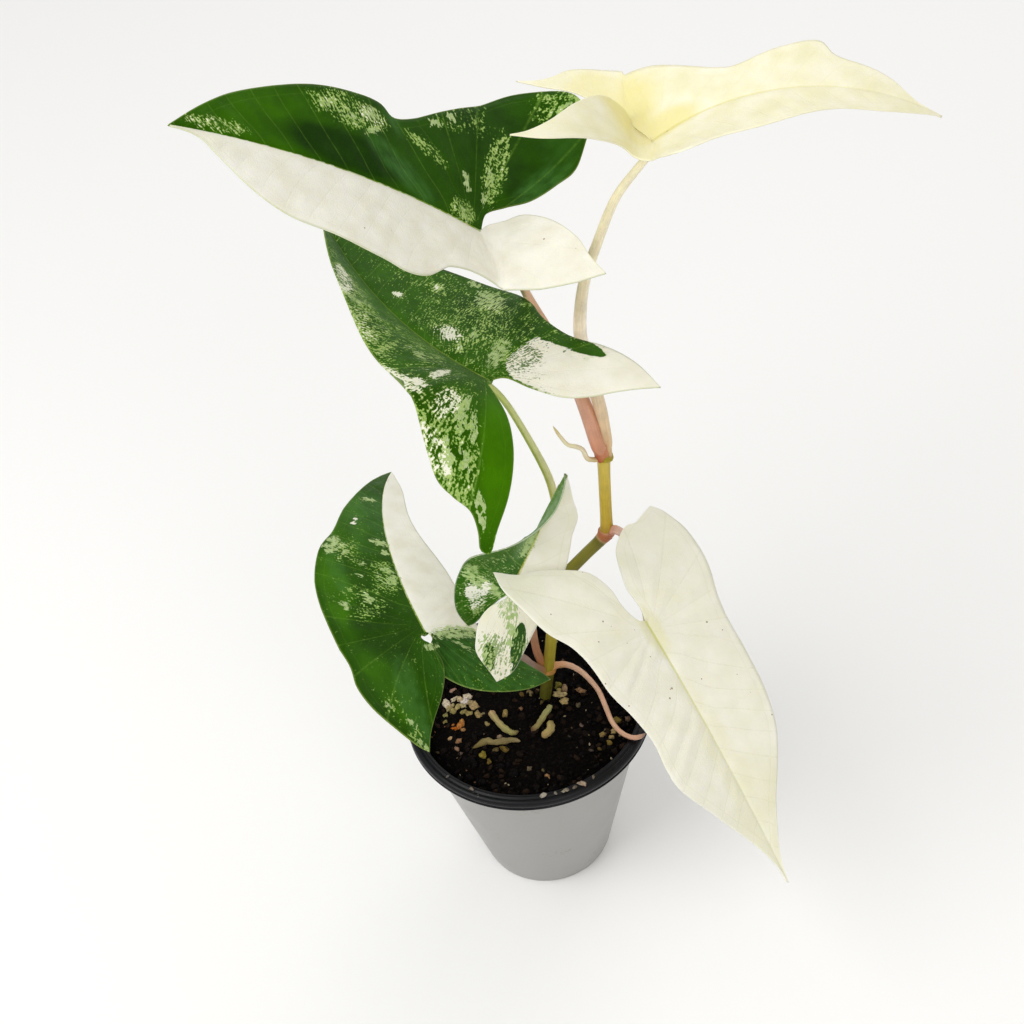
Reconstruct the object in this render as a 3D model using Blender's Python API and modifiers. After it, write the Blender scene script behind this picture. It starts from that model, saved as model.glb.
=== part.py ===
# Arrowhead plant in a small nursery pot, modelled in metres with +Z up.
# The origin is the centre of the pot's flat underside. The plant's open side faces -Y.
import math

import bmesh
import bpy
import numpy as np
from mathutils import Matrix, Vector

OBJECT_NAME = "arrowhead_plant"
MM = 0.001
GAP = 0.3                      # clearance between pieces that touch, mm

# Pot, mm
POT_HEIGHT = 80.0
COLLAR_RADIUS = 45.0
COLLAR_HEIGHT = 4.6
LIP_RADIUS = 40.6              # inner edge of the rim
BASE_RADIUS = 24.5
WALL = 1.3
POT_STEPS = 64
DRAIN_HOLES = 6
DRAIN_RADIUS = 3.0
DRAIN_RING = 15.0

# Growing mix, mm
SOIL_LEVEL = 72.0
SOIL_STEPS = 44
SOIL_RINGS = 7
SOIL_RELIEF = 0.9
GRIT_STONES = 18
GRIT_SEED = 7

# Bits of root on the mix: x, y, z and radius, mm
ROOT_STUBS = {
    "root_stub_left": [(-13.9, 3.1, 72.4, 1.2), (-9.6, -5.6, 73.4, 1.2), (-4.6, -7.1, 72.2, 1.0)],
    "root_stub_front": [(7.5, 1.4, 72.0, 1.1), (4.8, -2.8, 73.6, 1.2), (-0.6, -7.8, 72.0, 1.1)],
    "root_stub_long": [(-21.9, -11.1, 72.6, 0.9), (-14.0, -10.6, 73.0, 1.0), (-5.1, -11.6, 72.6, 0.9)],
}
STUB_STEPS = 2
STUB_SIDES = 8

# Blade, mm and grid steps
BLADE_THICKNESS = 0.8
ROWS_TO_NOTCH = 11
ROWS_IN_LOBE = 7
COLUMNS = 4
SPINE_STEPS = 16
LIFT_STEPS = 4                 # steps of a lobe's spine that take its lift
PETIOLE_TIP_RADIUS = 0.9

# Stem: x, y, z and radius along its centre line, mm
STEM_PATH = [
    (5.0, 6.8, 56.0, 2.3),
    (6.5, 7.3, 72.0, 2.3),
    (8.6, 9.6, 82.0, 2.5),
    (9.2, 10.0, 85.0, 3.1),
    (9.7, 10.2, 88.5, 2.4),
    (13.6, 11.2, 112.0, 2.3),
    (16.0, 11.9, 125.5, 2.4),
    (17.0, 12.1, 128.6, 3.0),
    (19.2, 12.3, 131.2, 2.4),
    (27.5, 13.2, 139.6, 2.2),
    (34.2, 13.9, 145.6, 2.4),
    (36.3, 14.2, 148.6, 3.2),
    (37.0, 14.6, 152.4, 2.4),
    (37.4, 16.2, 166.0, 2.3),
    (37.6, 17.6, 178.0, 2.5),
    (37.8, 18.0, 181.6, 3.3),
    (38.0, 18.2, 184.6, 2.5),
]
STEM_STEPS = 3
STEM_SIDES = 12

# Leaf stalks: x, y, z and radius from the node on the stem to the blade, mm.
# The last point, under the blade, is worked out from the leaf.
PETIOLES = {
    "petiole_top": [
        (40.6, 16.6, 183.6, 2.0),
        (40.0, 18.8, 189.8, 2.5),
        (39.0, 21.0, 200.0, 2.6),
        (35.8, 19.2, 219.6, 2.4),
        (34.3, 18.6, 234.4, 2.2),
        (34.9, 16.2, 247.4, 2.0),
        (37.0, 12.4, 262.8, 1.8),
        (41.2, 8.0, 279.0, 1.6),
        (47.1, 0.7, 300.4, 1.4),
        (54.0, -7.4, 317.0, 1.2),
    ],
    "petiole_upper_left": [
        (35.0, 20.6, 182.6, 1.8),
        (34.8, 25.4, 187.6, 2.2),
        (33.4, 30.8, 195.4, 2.1),
        (28.4, 36.2, 214.2, 1.8),
        (20.8, 38.6, 235.0, 1.5),
        (17.6, 33.6, 249.4, 1.3),
        (13.0, 24.6, 268.0, 1.1),
    ],
    "petiole_marbled": [
        (17.6, 16.6, 129.8, 1.5),
        (19.4, 17.4, 137.0, 1.7),
        (19.9, 16.6, 150.0, 1.6),
        (19.6, 16.3, 166.0, 1.5),
        (17.7, 15.4, 181.1, 1.4),
        (11.5, 11.0, 207.4, 1.2),
        (6.6, 1.6, 229.8, 1.1),
    ],
    "petiole_lower_left": [
        (5.8, 8.8, 86.4, 1.6),
        (3.6, 6.2, 93.0, 1.8),
        (-0.1, 3.3, 102.7, 1.6),
        (-13.0, -2.4, 117.0, 1.3),
        (-26.0, -6.6, 129.0, 1.1),
    ],
    "petiole_small": [
        (8.0, 5.8, 88.0, 1.6),
        (7.1, 5.4, 95.4, 1.7),
        (6.7, 6.2, 106.2, 1.5),
        (6.0, 3.4, 116.8, 1.4),
        (4.2, -1.4, 134.6, 1.2),
        (1.7, -6.0, 147.0, 1.0),
    ],
    "petiole_front": [
        (38.4, 10.8, 149.6, 1.7),
        (40.0, 5.6, 153.0, 1.8),
        (42.0, 1.4, 151.6, 1.6),
        (43.1, -12.1, 147.9, 1.4),
        (43.6, -22.0, 146.4, 1.2),
    ],
}
PETIOLE_STEPS = 4
PETIOLE_SIDES = 8

# Roots in the air: x, y, z and radius, mm
AERIAL_ROOTS = {
    "aerial_root_long": [
        (12.3, 10.0, 85.6, 1.1),
        (19.1, 8.7, 86.0, 1.1),
        (23.1, 4.7, 83.5, 1.1),
        (26.6, -1.0, 80.5, 1.05),
        (29.0, -12.0, 77.5, 1.0),
        (31.2, -19.6, 80.0, 1.0),
        (34.3, -23.6, 81.4, 1.0),
        (37.1, -24.2, 81.4, 0.95),
        (39.7, -22.9, 81.1, 0.8),
    ],
    "aerial_root_short": [
        (34.9, 15.4, 181.4, 0.8),
        (33.2, 14.6, 184.4, 0.9),
        (31.0, 15.4, 188.2, 1.0),
        (27.3, 17.2, 189.8, 0.8),
        (24.5, 19.6, 192.4, 0.7),
        (22.2, 21.6, 195.0, 0.5),
    ],
}

# Blades. Each half is an outline in the flat: a runs along the midrib from the stalk to the
# tip, b across it, both in mm. "outer" runs from the tip to the lobe, "sinus" from the notch
# to the lobe. Angles are in degrees: droop bends the midrib down, fold lifts a half about
# the midrib, curl bends it across, lobe_drop bends each lobe down behind the stalk.
LEAVES = {
    "leaf_top": {
        "attach": (60.0, -11.8, 329.8),
        "heading": (0.83, 0.02, 0.55),
        "facing": (-0.54, 0.24, 0.81),
        "length": 80,
        "lobe_length": 34,
        "half_width": 28,
        "droop": 65,
        "twist": -2,
        "sweep": -2,
        "wave": 0.8,
        "left": {
            "outer": [(72, 1), (65, 6), (59, 9), (50, 12), (46, 17), (37, 15), (26, 12), (20, 13),
                      (11, 18), (1, 25), (-10, 29), (-22, 31), (-34, 29)],
            "lobe": (-42, 26),
            "sinus": [(-5, 8), (-10, 14), (-16, 17), (-20, 19), (-26, 22), (-32, 23)],
            "fold": 24, "tip_fold": 22, "curl": -1,
            "lobe_lift": 36, "lobe_drop": -6, "lobe_twist": 3,
        },
        "right": {
            "outer": [(72, 4), (62, 8), (52, 11), (45, 14), (37, 17), (29, 19), (18, 21), (9, 25),
                      (3, 23), (-4, 14), (-14, 12), (-24, 19), (-34, 24)],
            "lobe": (-44, 26),
            "sinus": [(-8, -5), (-18, -4), (-26, 0), (-31, 8), (-36, 16), (-41, 22)],
            "fold": -2, "tip_fold": -17, "curl": 17,
            "lobe_lift": 102, "lobe_drop": 42, "lobe_twist": 19,
        },
    },
    "leaf_upper_left": {
        "attach": (5.7, 13.9, 288.1),
        "heading": (-0.67, -0.10, 0.73),
        "facing": (0.73, -0.23, 0.64),
        "length": 101,
        "lobe_length": 42,
        "half_width": 35,
        "droop": 13,
        "twist": -3,
        "sweep": 11,
        "wave": 0.8,
        "left": {
            "outer": [(93, 3), (88, 10), (80, 19), (69, 26), (55, 29), (46, 31), (38, 32), (30, 33),
                      (22, 31), (13, 24), (5, 23), (-5, 24), (-14, 26), (-24, 29), (-33, 29),
                      (-38, 28)],
            "lobe": (-42, 27),
            "sinus": [(-6, -4), (-10, -6), (-16, -6), (-26, 1), (-34, 11), (-38, 20)],
            "fold": 18, "tip_fold": 18, "curl": -14,
            "lobe_lift": 80, "lobe_drop": 26, "lobe_twist": 6,
        },
        "right": {
            "outer": [(90, 9), (79, 16), (60, 24), (44, 28), (34, 29), (29, 26), (22, 29), (14, 35),
                      (1, 44), (-14, 54), (-28, 54), (-35, 48)],
            "lobe": (-38, 38),
            "sinus": [(-5, 7), (-12, 12), (-20, 16), (-28, 22), (-34, 27)],
            "fold": 3, "tip_fold": 3, "curl": -3, "lobe_drop": -72, "lobe_twist": -9,
        },
    },
    "leaf_marbled": {
        "attach": (1.9, -6.7, 247.1),
        "heading": (-0.67, 0.74, -0.05),
        "facing": (0.25, 0.29, 0.92),
        "length": 104,
        "lobe_length": 44,
        "half_width": 36,
        "droop": -22,
        "twist": 20,
        "sweep": -22,
        "wave": 0.8,
        "left": {
            "outer": [(92, 4), (81, 8), (67, 13), (44, 21), (20, 29), (3, 33), (-5, 36), (-14, 40),
                      (-25, 43), (-38, 42), (-46, 41)],
            "lobe": (-50, 38),
            "sinus": [(-6, 5), (-12, 8), (-20, 11), (-27, 15), (-33, 20), (-39, 26), (-46, 33)],
            "fold": 22, "tip_fold": 22, "curl": -35, "lobe_drop": 56, "lobe_twist": 26,
        },
        "right": {
            "outer": [(94, 5), (84, 13), (72, 22), (58, 31), (44, 38), (32, 41), (20, 39), (8, 34),
                      (-6, 33), (-18, 35), (-31, 35)],
            "lobe": (-43, 32),
            "sinus": [(-6, 4), (-15, 5), (-25, 8), (-31, 14), (-35, 21), (-39, 27)],
            "fold": 15, "tip_fold": 15, "curl": 2, "lobe_drop": 8, "lobe_twist": 0,
        },
    },
    "leaf_lower_left": {
        "attach": (-31.6, -6.9, 138.1),
        "heading": (-0.32, 0.94, 0.12),
        "facing": (-0.26, -0.21, 0.94),
        "length": 105,
        "lobe_length": 44,
        "half_width": 37,
        "droop": 44,
        "twist": -6,
        "sweep": -13,
        "wave": 0.9,
        "left": {
            "outer": [(95, 4), (84, 8), (67, 14), (51, 18), (40, 23), (28, 28), (17, 30), (5, 31),
                      (-9, 32), (-18, 35), (-27, 35), (-36, 32), (-42, 29)],
            "lobe": (-45, 26),
            "sinus": [(-7, 1), (-13, 1), (-22, 3), (-29, 8), (-35, 15), (-40, 21)],
            "fold": 34, "tip_fold": 41, "curl": 4, "lobe_drop": 21, "lobe_twist": -20,
        },
        "right": {
            "outer": [(97, 3), (84, 7), (63, 10), (50, 13), (38, 17), (27, 20), (13, 22), (5, 22),
                      (-5, 24), (-15, 28), (-29, 34), (-36, 37)],
            "lobe": (-42, 38),
            "sinus": [(-8, 1), (-16, 1), (-23, 3), (-30, 9), (-35, 16), (-39, 27)],
            "fold": -44, "tip_fold": -35, "curl": -20, "lobe_drop": 35, "lobe_twist": -8,
        },
    },
    "leaf_small": {
        "attach": (0.8, -12.8, 157.2),
        "heading": (0.51, 0.22, 0.83),
        "facing": (-0.49, -0.72, 0.50),
        "length": 55,
        "lobe_length": 23,
        "half_width": 19,
        "droop": -28,
        "twist": 10,
        "sweep": -5,
        "wave": 0.4,
        "left": {
            "outer": [(49, 3), (43, 6), (35, 9), (27, 12), (18, 16), (9, 18), (3, 18), (-5, 18),
                      (-11, 17), (-18, 15)],
            "lobe": (-27, 11),
            "sinus": [(-6, 2), (-11, 4), (-17, 6), (-22, 8)],
            "fold": 21, "tip_fold": 144, "curl": 1, "lobe_drop": 43, "lobe_twist": 9,
        },
        "right": {
            "outer": [(49, 3), (42, 6), (33, 11), (24, 12), (12, 15), (4, 16), (-4, 15), (-10, 15),
                      (-17, 16), (-23, 17)],
            "lobe": (-28, 14),
            "sinus": [(-6, 1), (-11, 1), (-17, 1), (-22, 2), (-26, 6)],
            "fold": -32, "tip_fold": -37, "curl": -27, "lobe_drop": -38, "lobe_twist": -4,
        },
    },
    "leaf_front": {
        "attach": (44.0, -30.8, 146.9),
        "heading": (0.38, -0.72, -0.58),
        "facing": (0.41, -0.44, 0.80),
        "length": 95,
        "lobe_length": 40,
        "half_width": 33,
        "droop": 8,
        "twist": 2,
        "sweep": -1,
        "wave": 0.7,
        "left": {
            "outer": [(85, 2), (71, 9), (61, 16), (51, 22), (42, 25), (32, 27), (20, 28), (8, 28),
                      (0, 29), (-12, 34), (-23, 36), (-33, 37)],
            "lobe": (-39, 34),
            "sinus": [(-8, 1), (-15, 1), (-21, 3), (-29, 8), (-34, 16), (-37, 24)],
            "fold": 3, "tip_fold": 3, "curl": -7, "lobe_drop": 35, "lobe_twist": 6,
        },
        "right": {
            "outer": [(86, 2), (77, 6), (62, 15), (50, 22), (42, 23), (32, 22), (22, 24), (11, 28),
                      (0, 29), (-8, 31), (-15, 35), (-23, 37), (-34, 38)],
            "lobe": (-42, 36),
            "sinus": [(-5, 3), (-11, 5), (-18, 5), (-26, 8), (-31, 15), (-35, 23), (-37, 30)],
            "fold": 11, "tip_fold": 11, "curl": -5, "lobe_drop": 23, "lobe_twist": 6,
        },
    },
}
NOTCH = -3.0                   # where the sinus starts, behind the stalk, mm

# How far the stalk's end stays under the middle of its blade, past the clearance, mm
SEAT_ROOM = {
    "petiole_top": 1.0,
    "petiole_upper_left": 0.9,
    "petiole_marbled": 0.6,
    "petiole_lower_left": 1.3,
    "petiole_small": 1.0,
    "petiole_front": 1.0,
}

# Which stalk carries which blade
CARRIED_BY = {
    "petiole_top": "leaf_top",
    "petiole_upper_left": "leaf_upper_left",
    "petiole_marbled": "leaf_marbled",
    "petiole_lower_left": "leaf_lower_left",
    "petiole_small": "leaf_small",
    "petiole_front": "leaf_front",
}

COLOURS = {
    "pot": (0.012, 0.012, 0.013),
    "soil": (0.020, 0.014, 0.010),
    "stem": (0.31, 0.27, 0.045),
    "petiole_top": (0.72, 0.55, 0.28),
    "petiole_upper_left": (0.68, 0.50, 0.30),
    "petiole_marbled": (0.42, 0.50, 0.14),
    "petiole_lower_left": (0.22, 0.16, 0.11),
    "petiole_small": (0.60, 0.38, 0.24),
    "petiole_front": (0.62, 0.36, 0.25),
    "aerial_root_long": (0.62, 0.33, 0.22),
    "aerial_root_short": (0.66, 0.56, 0.24),
    "leaf_top": (0.90, 0.86, 0.62),
    "leaf_upper_left": (0.10, 0.20, 0.03),
    "leaf_marbled": (0.09, 0.19, 0.03),
    "leaf_lower_left": (0.05, 0.13, 0.03),
    "leaf_small": (0.60, 0.62, 0.42),
    "leaf_front": (0.84, 0.83, 0.72),
}
ROUGHNESS = {"pot": 0.28, "soil": 0.95}
LEAF_ROUGHNESS = 0.45


def make_collection(name, hidden):
    collection = bpy.data.collections.new(name)
    collection.hide_render = hidden
    bpy.context.scene.collection.children.link(collection)
    return collection


def make_material(name):
    material = bpy.data.materials.new(name)
    material.use_nodes = True
    shader = material.node_tree.nodes["Principled BSDF"]
    shader.inputs["Base Color"].default_value = (*COLOURS[name], 1.0)
    shader.inputs["Roughness"].default_value = ROUGHNESS.get(name, LEAF_ROUGHNESS)
    shader.inputs["Metallic"].default_value = 0.0
    return material


def add_object(name, data, collection):
    obj = bpy.data.objects.new(name, data)
    collection.objects.link(obj)
    if collection.hide_render:
        obj.hide_render = True
        obj.display_type = "WIRE"
    elif name in COLOURS:
        data.materials.append(make_material(name))
    return obj


def smooth_path(points, steps):
    """Points on a Catmull-Rom curve through the given ones, with their radii."""
    rows = [np.array(point, float) for point in points]
    rows = [2 * rows[0] - rows[1], *rows, 2 * rows[-1] - rows[-2]]
    path = []
    for before, start, end, after in zip(rows, rows[1:], rows[2:], rows[3:]):
        for step in range(steps):
            t = step / steps
            path.append(
                0.5 * (2 * start + (end - before) * t
                       + (2 * before - 5 * start + 4 * end - after) * t * t
                       + (3 * start - before - 3 * end + after) * t ** 3)
            )
    return [*path, rows[-2]]


def lengthened(path, extra):
    """The path with both of its ends moved outwards."""
    path = [point.copy() for point in path]
    for end, inner in ((0, 1), (-1, -2)):
        heading = path[end][:3] - path[inner][:3]
        path[end][:3] += heading * (extra / np.linalg.norm(heading))
    return path


def make_tube(name, points, steps, sides, collection, extra=0.0):
    """A closed tube along the points as a mesh. extra widens it all along, in mm."""
    curve = bpy.data.curves.new(name + "_line", "CURVE")
    curve.dimensions = "3D"
    curve.bevel_depth = MM
    curve.bevel_resolution = (sides - 4) // 2
    curve.use_fill_caps = True
    path = smooth_path(points, steps)
    if extra:
        path = lengthened(path, extra)
    spline = curve.splines.new("POLY")
    spline.points.add(len(path) - 1)
    for point, (x, y, z, radius) in zip(spline.points, path):
        point.co = (x * MM, y * MM, z * MM, 1.0)
        point.radius = radius + extra
    line = bpy.data.objects.new(name + "_line", curve)
    bpy.context.scene.collection.objects.link(line)
    evaluated = line.evaluated_get(bpy.context.evaluated_depsgraph_get())
    mesh = bpy.data.meshes.new_from_object(evaluated)
    mesh.name = name
    bpy.data.objects.remove(line)
    tube = bmesh.new()
    tube.from_mesh(mesh)
    bmesh.ops.remove_doubles(tube, verts=tube.verts, dist=0.00001)
    bmesh.ops.recalc_face_normals(tube, faces=tube.faces)
    tube.to_mesh(mesh)
    tube.free()
    mesh.materials.clear()
    mesh.shade_smooth()
    return add_object(name, mesh, collection)


def cut(obj, cutter):
    modifier = obj.modifiers.new("cut_" + cutter.name, "BOOLEAN")
    modifier.operation = "DIFFERENCE"
    modifier.object = cutter


def make_turned(name, profile, steps, collection):
    """A solid turned about Z from an (r, z) profile in mm that runs down its outer side."""
    mesh = bpy.data.meshes.new(name)
    outline = bmesh.new()
    points = [outline.verts.new((r * MM, 0.0, z * MM)) for r, z in profile]
    for first, second in zip(points, points[1:]):
        outline.edges.new((first, second))
    outline.to_mesh(mesh)
    outline.free()
    turned = add_object(name, mesh, collection)
    screw = turned.modifiers.new("turn", "SCREW")
    screw.steps = steps
    screw.render_steps = steps
    screw.use_merge_vertices = True
    screw.merge_threshold = 0.00001
    screw.use_normal_calculate = True
    return turned


def wall_radius(z):
    """Inner radius of the pot's wall at a height, mm."""
    top_radius = LIP_RADIUS - 0.4
    bottom_radius = BASE_RADIUS - WALL
    share = (z - WALL) / (POT_HEIGHT - COLLAR_HEIGHT - WALL)
    return bottom_radius + (top_radius - bottom_radius) * share


def make_pot(parts, cutters):
    collar_bottom = POT_HEIGHT - COLLAR_HEIGHT
    profile = [
        (0.0, WALL),
        (wall_radius(WALL), WALL),
        (wall_radius(collar_bottom), collar_bottom),
        (LIP_RADIUS, POT_HEIGHT - 0.6),
        (LIP_RADIUS + 0.6, POT_HEIGHT),
        (COLLAR_RADIUS - 0.8, POT_HEIGHT),
        (COLLAR_RADIUS, POT_HEIGHT - 0.8),
        (COLLAR_RADIUS - 0.3, collar_bottom),
        (wall_radius(collar_bottom) + WALL, collar_bottom - 0.2),
        (BASE_RADIUS, 1.2),
        (BASE_RADIUS - 1.2, 0.0),
        (0.0, 0.0),
    ]
    pot = make_turned("pot", profile, POT_STEPS, parts)
    for number in range(DRAIN_HOLES):
        angle = math.tau * number / DRAIN_HOLES
        mesh = bpy.data.meshes.new("drain_hole")
        drill = bmesh.new()
        bmesh.ops.create_cone(
            drill, cap_ends=True, segments=16, radius1=DRAIN_RADIUS * MM,
            radius2=DRAIN_RADIUS * MM, depth=6 * WALL * MM,
        )
        drill.to_mesh(mesh)
        drill.free()
        hole = add_object(f"drain_hole_{number + 1}", mesh, cutters)
        hole.location = (DRAIN_RING * MM * math.cos(angle), DRAIN_RING * MM * math.sin(angle), 0.0)
        cut(pot, hole)
    return pot


def soil_height(x, y):
    """Relief of the growing mix over its mean level, mm."""
    broad = math.sin(0.11 * x + 0.7) * math.cos(0.13 * y - 0.4)
    fine = 0.5 * math.sin(0.41 * x + 0.29 * y) * math.cos(0.37 * y - 0.23 * x + 1.1)
    return SOIL_RELIEF * (broad + fine)


def make_soil(parts, cutters, stem_points):
    bottom = WALL + GAP
    side = wall_radius(SOIL_LEVEL) - GAP - 0.2
    profile = [(0.0, SOIL_LEVEL)]
    profile += [(side * ring / SOIL_RINGS, SOIL_LEVEL) for ring in range(1, SOIL_RINGS + 1)]
    profile += [(wall_radius(bottom) - GAP - 0.2, bottom), (0.0, bottom)]
    soil = make_turned("soil", profile, SOIL_STEPS, parts)
    evaluated = soil.evaluated_get(bpy.context.evaluated_depsgraph_get())
    mesh = bpy.data.meshes.new_from_object(evaluated)
    soil.modifiers.clear()
    soil.data = mesh
    for vertex in mesh.vertices:
        if vertex.co.z > (SOIL_LEVEL - 1.0) * MM:
            x, y = vertex.co.x / MM, vertex.co.y / MM
            rim_fade = 1.0 - (math.hypot(x, y) / side) ** 6
            vertex.co.z += soil_height(x, y) * rim_fade * MM
    grit = bpy.data.collections.new("grit")
    bpy.context.scene.collection.children.link(grit)
    rng = np.random.default_rng(GRIT_SEED)
    for number in range(GRIT_STONES):
        angle = math.tau * (number * 0.382 + 0.03 * rng.random())
        reach = (side - 4.0) * math.sqrt((number + 1.5) / (GRIT_STONES + 1.5))
        x, y = reach * math.cos(angle), reach * math.sin(angle)
        near_stem = math.hypot(x - stem_points[1][0], y - stem_points[1][1]) < 6.0
        if near_stem:
            continue
        radius = 1.3 + 0.8 * rng.random()
        stone = bmesh.new()
        bmesh.ops.create_icosphere(stone, subdivisions=1, radius=radius * MM)
        turn = Matrix.Rotation(math.tau * rng.random(), 4, "Z") @ Matrix.Diagonal((1.2, 0.9, 0.8, 1.0))
        place = Matrix.Translation(Vector((x, y, SOIL_LEVEL + soil_height(x, y) + 0.2)) * MM)
        bmesh.ops.transform(stone, matrix=place @ turn, verts=stone.verts)
        stone_mesh = bpy.data.meshes.new("stone")
        stone.to_mesh(stone_mesh)
        stone.free()
        grit.objects.link(bpy.data.objects.new(f"stone_{number + 1}", stone_mesh))
    for name, points in ROOT_STUBS.items():
        make_tube(name, points, STUB_STEPS, STUB_SIDES, grit)
    join_collection(soil, grit)
    hole = make_tube("stem_hole", stem_points[:3], STEM_STEPS, STEM_SIDES, cutters, GAP)
    cut(soil, hole)
    return soil


def join_collection(obj, collection):
    """Fuses every object of the collection into obj and removes the collection."""
    union = obj.modifiers.new("join", "BOOLEAN")
    union.operation = "UNION"
    union.operand_type = "COLLECTION"
    union.collection = collection
    evaluated = obj.evaluated_get(bpy.context.evaluated_depsgraph_get())
    mesh = bpy.data.meshes.new_from_object(evaluated)
    obj.modifiers.remove(union)
    obj.data = mesh
    for piece in list(collection.objects):
        bpy.data.objects.remove(piece)
    bpy.data.collections.remove(collection)


def spine_frames(reach, droop, twist, sweep, lift=0.0):
    """Positions and axes along a bent line of the given reach: lists of (point, axes)."""
    step = (
        Matrix.Rotation(math.radians(droop) / SPINE_STEPS, 3, "Y")
        @ Matrix.Rotation(math.radians(sweep) / SPINE_STEPS, 3, "Z")
        @ Matrix.Rotation(math.radians(twist) / SPINE_STEPS, 3, "X")
    )
    rise = Matrix.Rotation(math.radians(lift) / LIFT_STEPS, 3, "Y")
    axes = Matrix.Identity(3)
    point = Vector((0.0, 0.0, 0.0))
    frames = [(point.copy(), axes.copy())]
    for number in range(SPINE_STEPS):
        axes = axes @ step
        if number < LIFT_STEPS:
            axes = axes @ rise
        point = point + axes.col[0] * (reach / SPINE_STEPS)
        frames.append((point.copy(), axes.copy()))
    return frames


def frame_at(frames, share):
    """The frame at a share of the reach, going straight on past its end."""
    place = max(share, 0.0) * SPINE_STEPS
    index = min(int(place), SPINE_STEPS - 1)
    part = place - index
    point = frames[index][0].lerp(frames[index + 1][0], part)
    across = frames[index][1].col[1].lerp(frames[index + 1][1].col[1], part)
    up = frames[index][1].col[2].lerp(frames[index + 1][1].col[2], part)
    return point, across, up


def blade_bend(leaf):
    """A function that takes a point of the flat outline to its place in the world, in mm."""
    heading = Vector(leaf["heading"]).normalized()
    facing = Vector(leaf["facing"])
    facing = (facing - heading * facing.dot(heading)).normalized()
    turn = Matrix((heading, facing.cross(heading), facing)).transposed()
    ahead = spine_frames(leaf["length"], leaf["droop"], leaf["twist"], leaf["sweep"])
    behind = {}
    for side, sign in (("left", -1.0), ("right", 1.0)):
        half = leaf[side]
        behind[side] = spine_frames(
            -leaf["lobe_length"], -half["lobe_drop"], sign * half["lobe_twist"], 0.0,
            half.get("lobe_lift", 0.0)
        )

    def bend(side, a, b):
        half = leaf[side]
        if a >= 0.0:
            point, across, up = frame_at(ahead, a / leaf["length"])
        else:
            straight = max(a, NOTCH)
            point, across, up = frame_at(behind[side], (straight - a) / leaf["lobe_length"])
            point = point + Vector((straight, 0.0, 0.0))
        share = min(max(a / leaf["length"], 0.0), 1.0)
        fold = math.radians(half["fold"] + (half["tip_fold"] - half["fold"]) * share)
        curl = math.radians(half["curl"]) / leaf["half_width"]
        out = (math.sin(fold + curl * b) - math.sin(fold)) / curl
        rise = (math.cos(fold) - math.cos(fold + curl * b)) / curl
        hand = 1.0 if side == "left" else -1.0
        return Vector(leaf["attach"]) + turn @ (point + across * (out * hand) + up * rise)

    return bend, turn


def along(points, share):
    """A point at a share of the length of a smooth line through the given flat points."""
    rows = [np.array(point, float) for point in points]
    lengths = [0.0]
    for first, second in zip(rows, rows[1:]):
        lengths.append(lengths[-1] + float(np.linalg.norm(second - first)))
    place = share * lengths[-1]
    index = min(max(int(np.searchsorted(lengths, place)) - 1, 0), len(rows) - 2)
    t = (place - lengths[index]) / (lengths[index + 1] - lengths[index])
    start, end = rows[index], rows[index + 1]
    before = rows[index - 1] if index else 2 * start - end
    after = rows[index + 2] if index + 2 < len(rows) else 2 * end - start
    return 0.5 * (2 * start + (end - before) * t
                  + (2 * before - 5 * start + 4 * end - after) * t * t
                  + (3 * start - before - 3 * end + after) * t ** 3)


def half_lines(leaf, side):
    """Inner and outer line of a half, each in two runs: tip to notch, and notch to lobe."""
    half = leaf[side]
    outer = [(leaf["length"], 0.0), *half["outer"], half["lobe"]]
    beside_notch = max(index for index, (a, b) in enumerate(outer) if a > NOTCH)
    return {
        "inner_ahead": [(leaf["length"], 0.0), (NOTCH, 0.0)],
        "inner_behind": [(NOTCH, 0.0), *half["sinus"], half["lobe"]],
        "outer_ahead": outer[: beside_notch + 1],
        "outer_behind": outer[beside_notch:],
    }


def flat_point(lines, row, column):
    """Flat place of a grid point. Row 0 is the tip, column 0 the midrib or sinus edge."""
    if row <= ROWS_TO_NOTCH:
        run, share = "ahead", row / ROWS_TO_NOTCH
    else:
        run, share = "behind", (row - ROWS_TO_NOTCH) / ROWS_IN_LOBE
    inner = along(lines["inner_" + run], share)
    outer = along(lines["outer_" + run], share)
    return inner + (outer - inner) * column / COLUMNS


def make_leaf(name, leaf, parts):
    bend, _ = blade_bend(leaf)
    rows = ROWS_TO_NOTCH + ROWS_IN_LOBE
    blade = bmesh.new()
    for side in ("left", "right"):
        lines = half_lines(leaf, side)
        # The grid's x counts columns from the midrib, its y rows from the tip.
        grid = bmesh.ops.create_grid(blade, x_segments=COLUMNS, y_segments=rows, size=0.5)
        for vertex in grid["verts"]:
            column = round((vertex.co.x + 0.5) * COLUMNS)
            row = round((vertex.co.y + 0.5) * rows)
            a, b = flat_point(lines, row, column)
            place = bend(side, a, b)
            swell = leaf["wave"] * (column / COLUMNS) ** 2 * math.sin(math.pi * row / rows)
            ripple = math.sin(1.15 * row + (0.8 if side == "left" else 2.1))
            facing = Vector(leaf["facing"]).normalized()
            vertex.co = (place + facing * (swell * ripple)) * MM
    bmesh.ops.remove_doubles(blade, verts=blade.verts, dist=0.02 * MM)
    bmesh.ops.triangulate(blade, faces=blade.faces)
    bmesh.ops.recalc_face_normals(blade, faces=blade.faces)
    mesh = bpy.data.meshes.new(name)
    blade.to_mesh(mesh)
    blade.free()
    mesh.shade_smooth()
    obj = add_object(name, mesh, parts)
    solidify = obj.modifiers.new("thickness", "SOLIDIFY")
    solidify.thickness = BLADE_THICKNESS * MM
    solidify.offset = 0.0
    return obj


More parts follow.
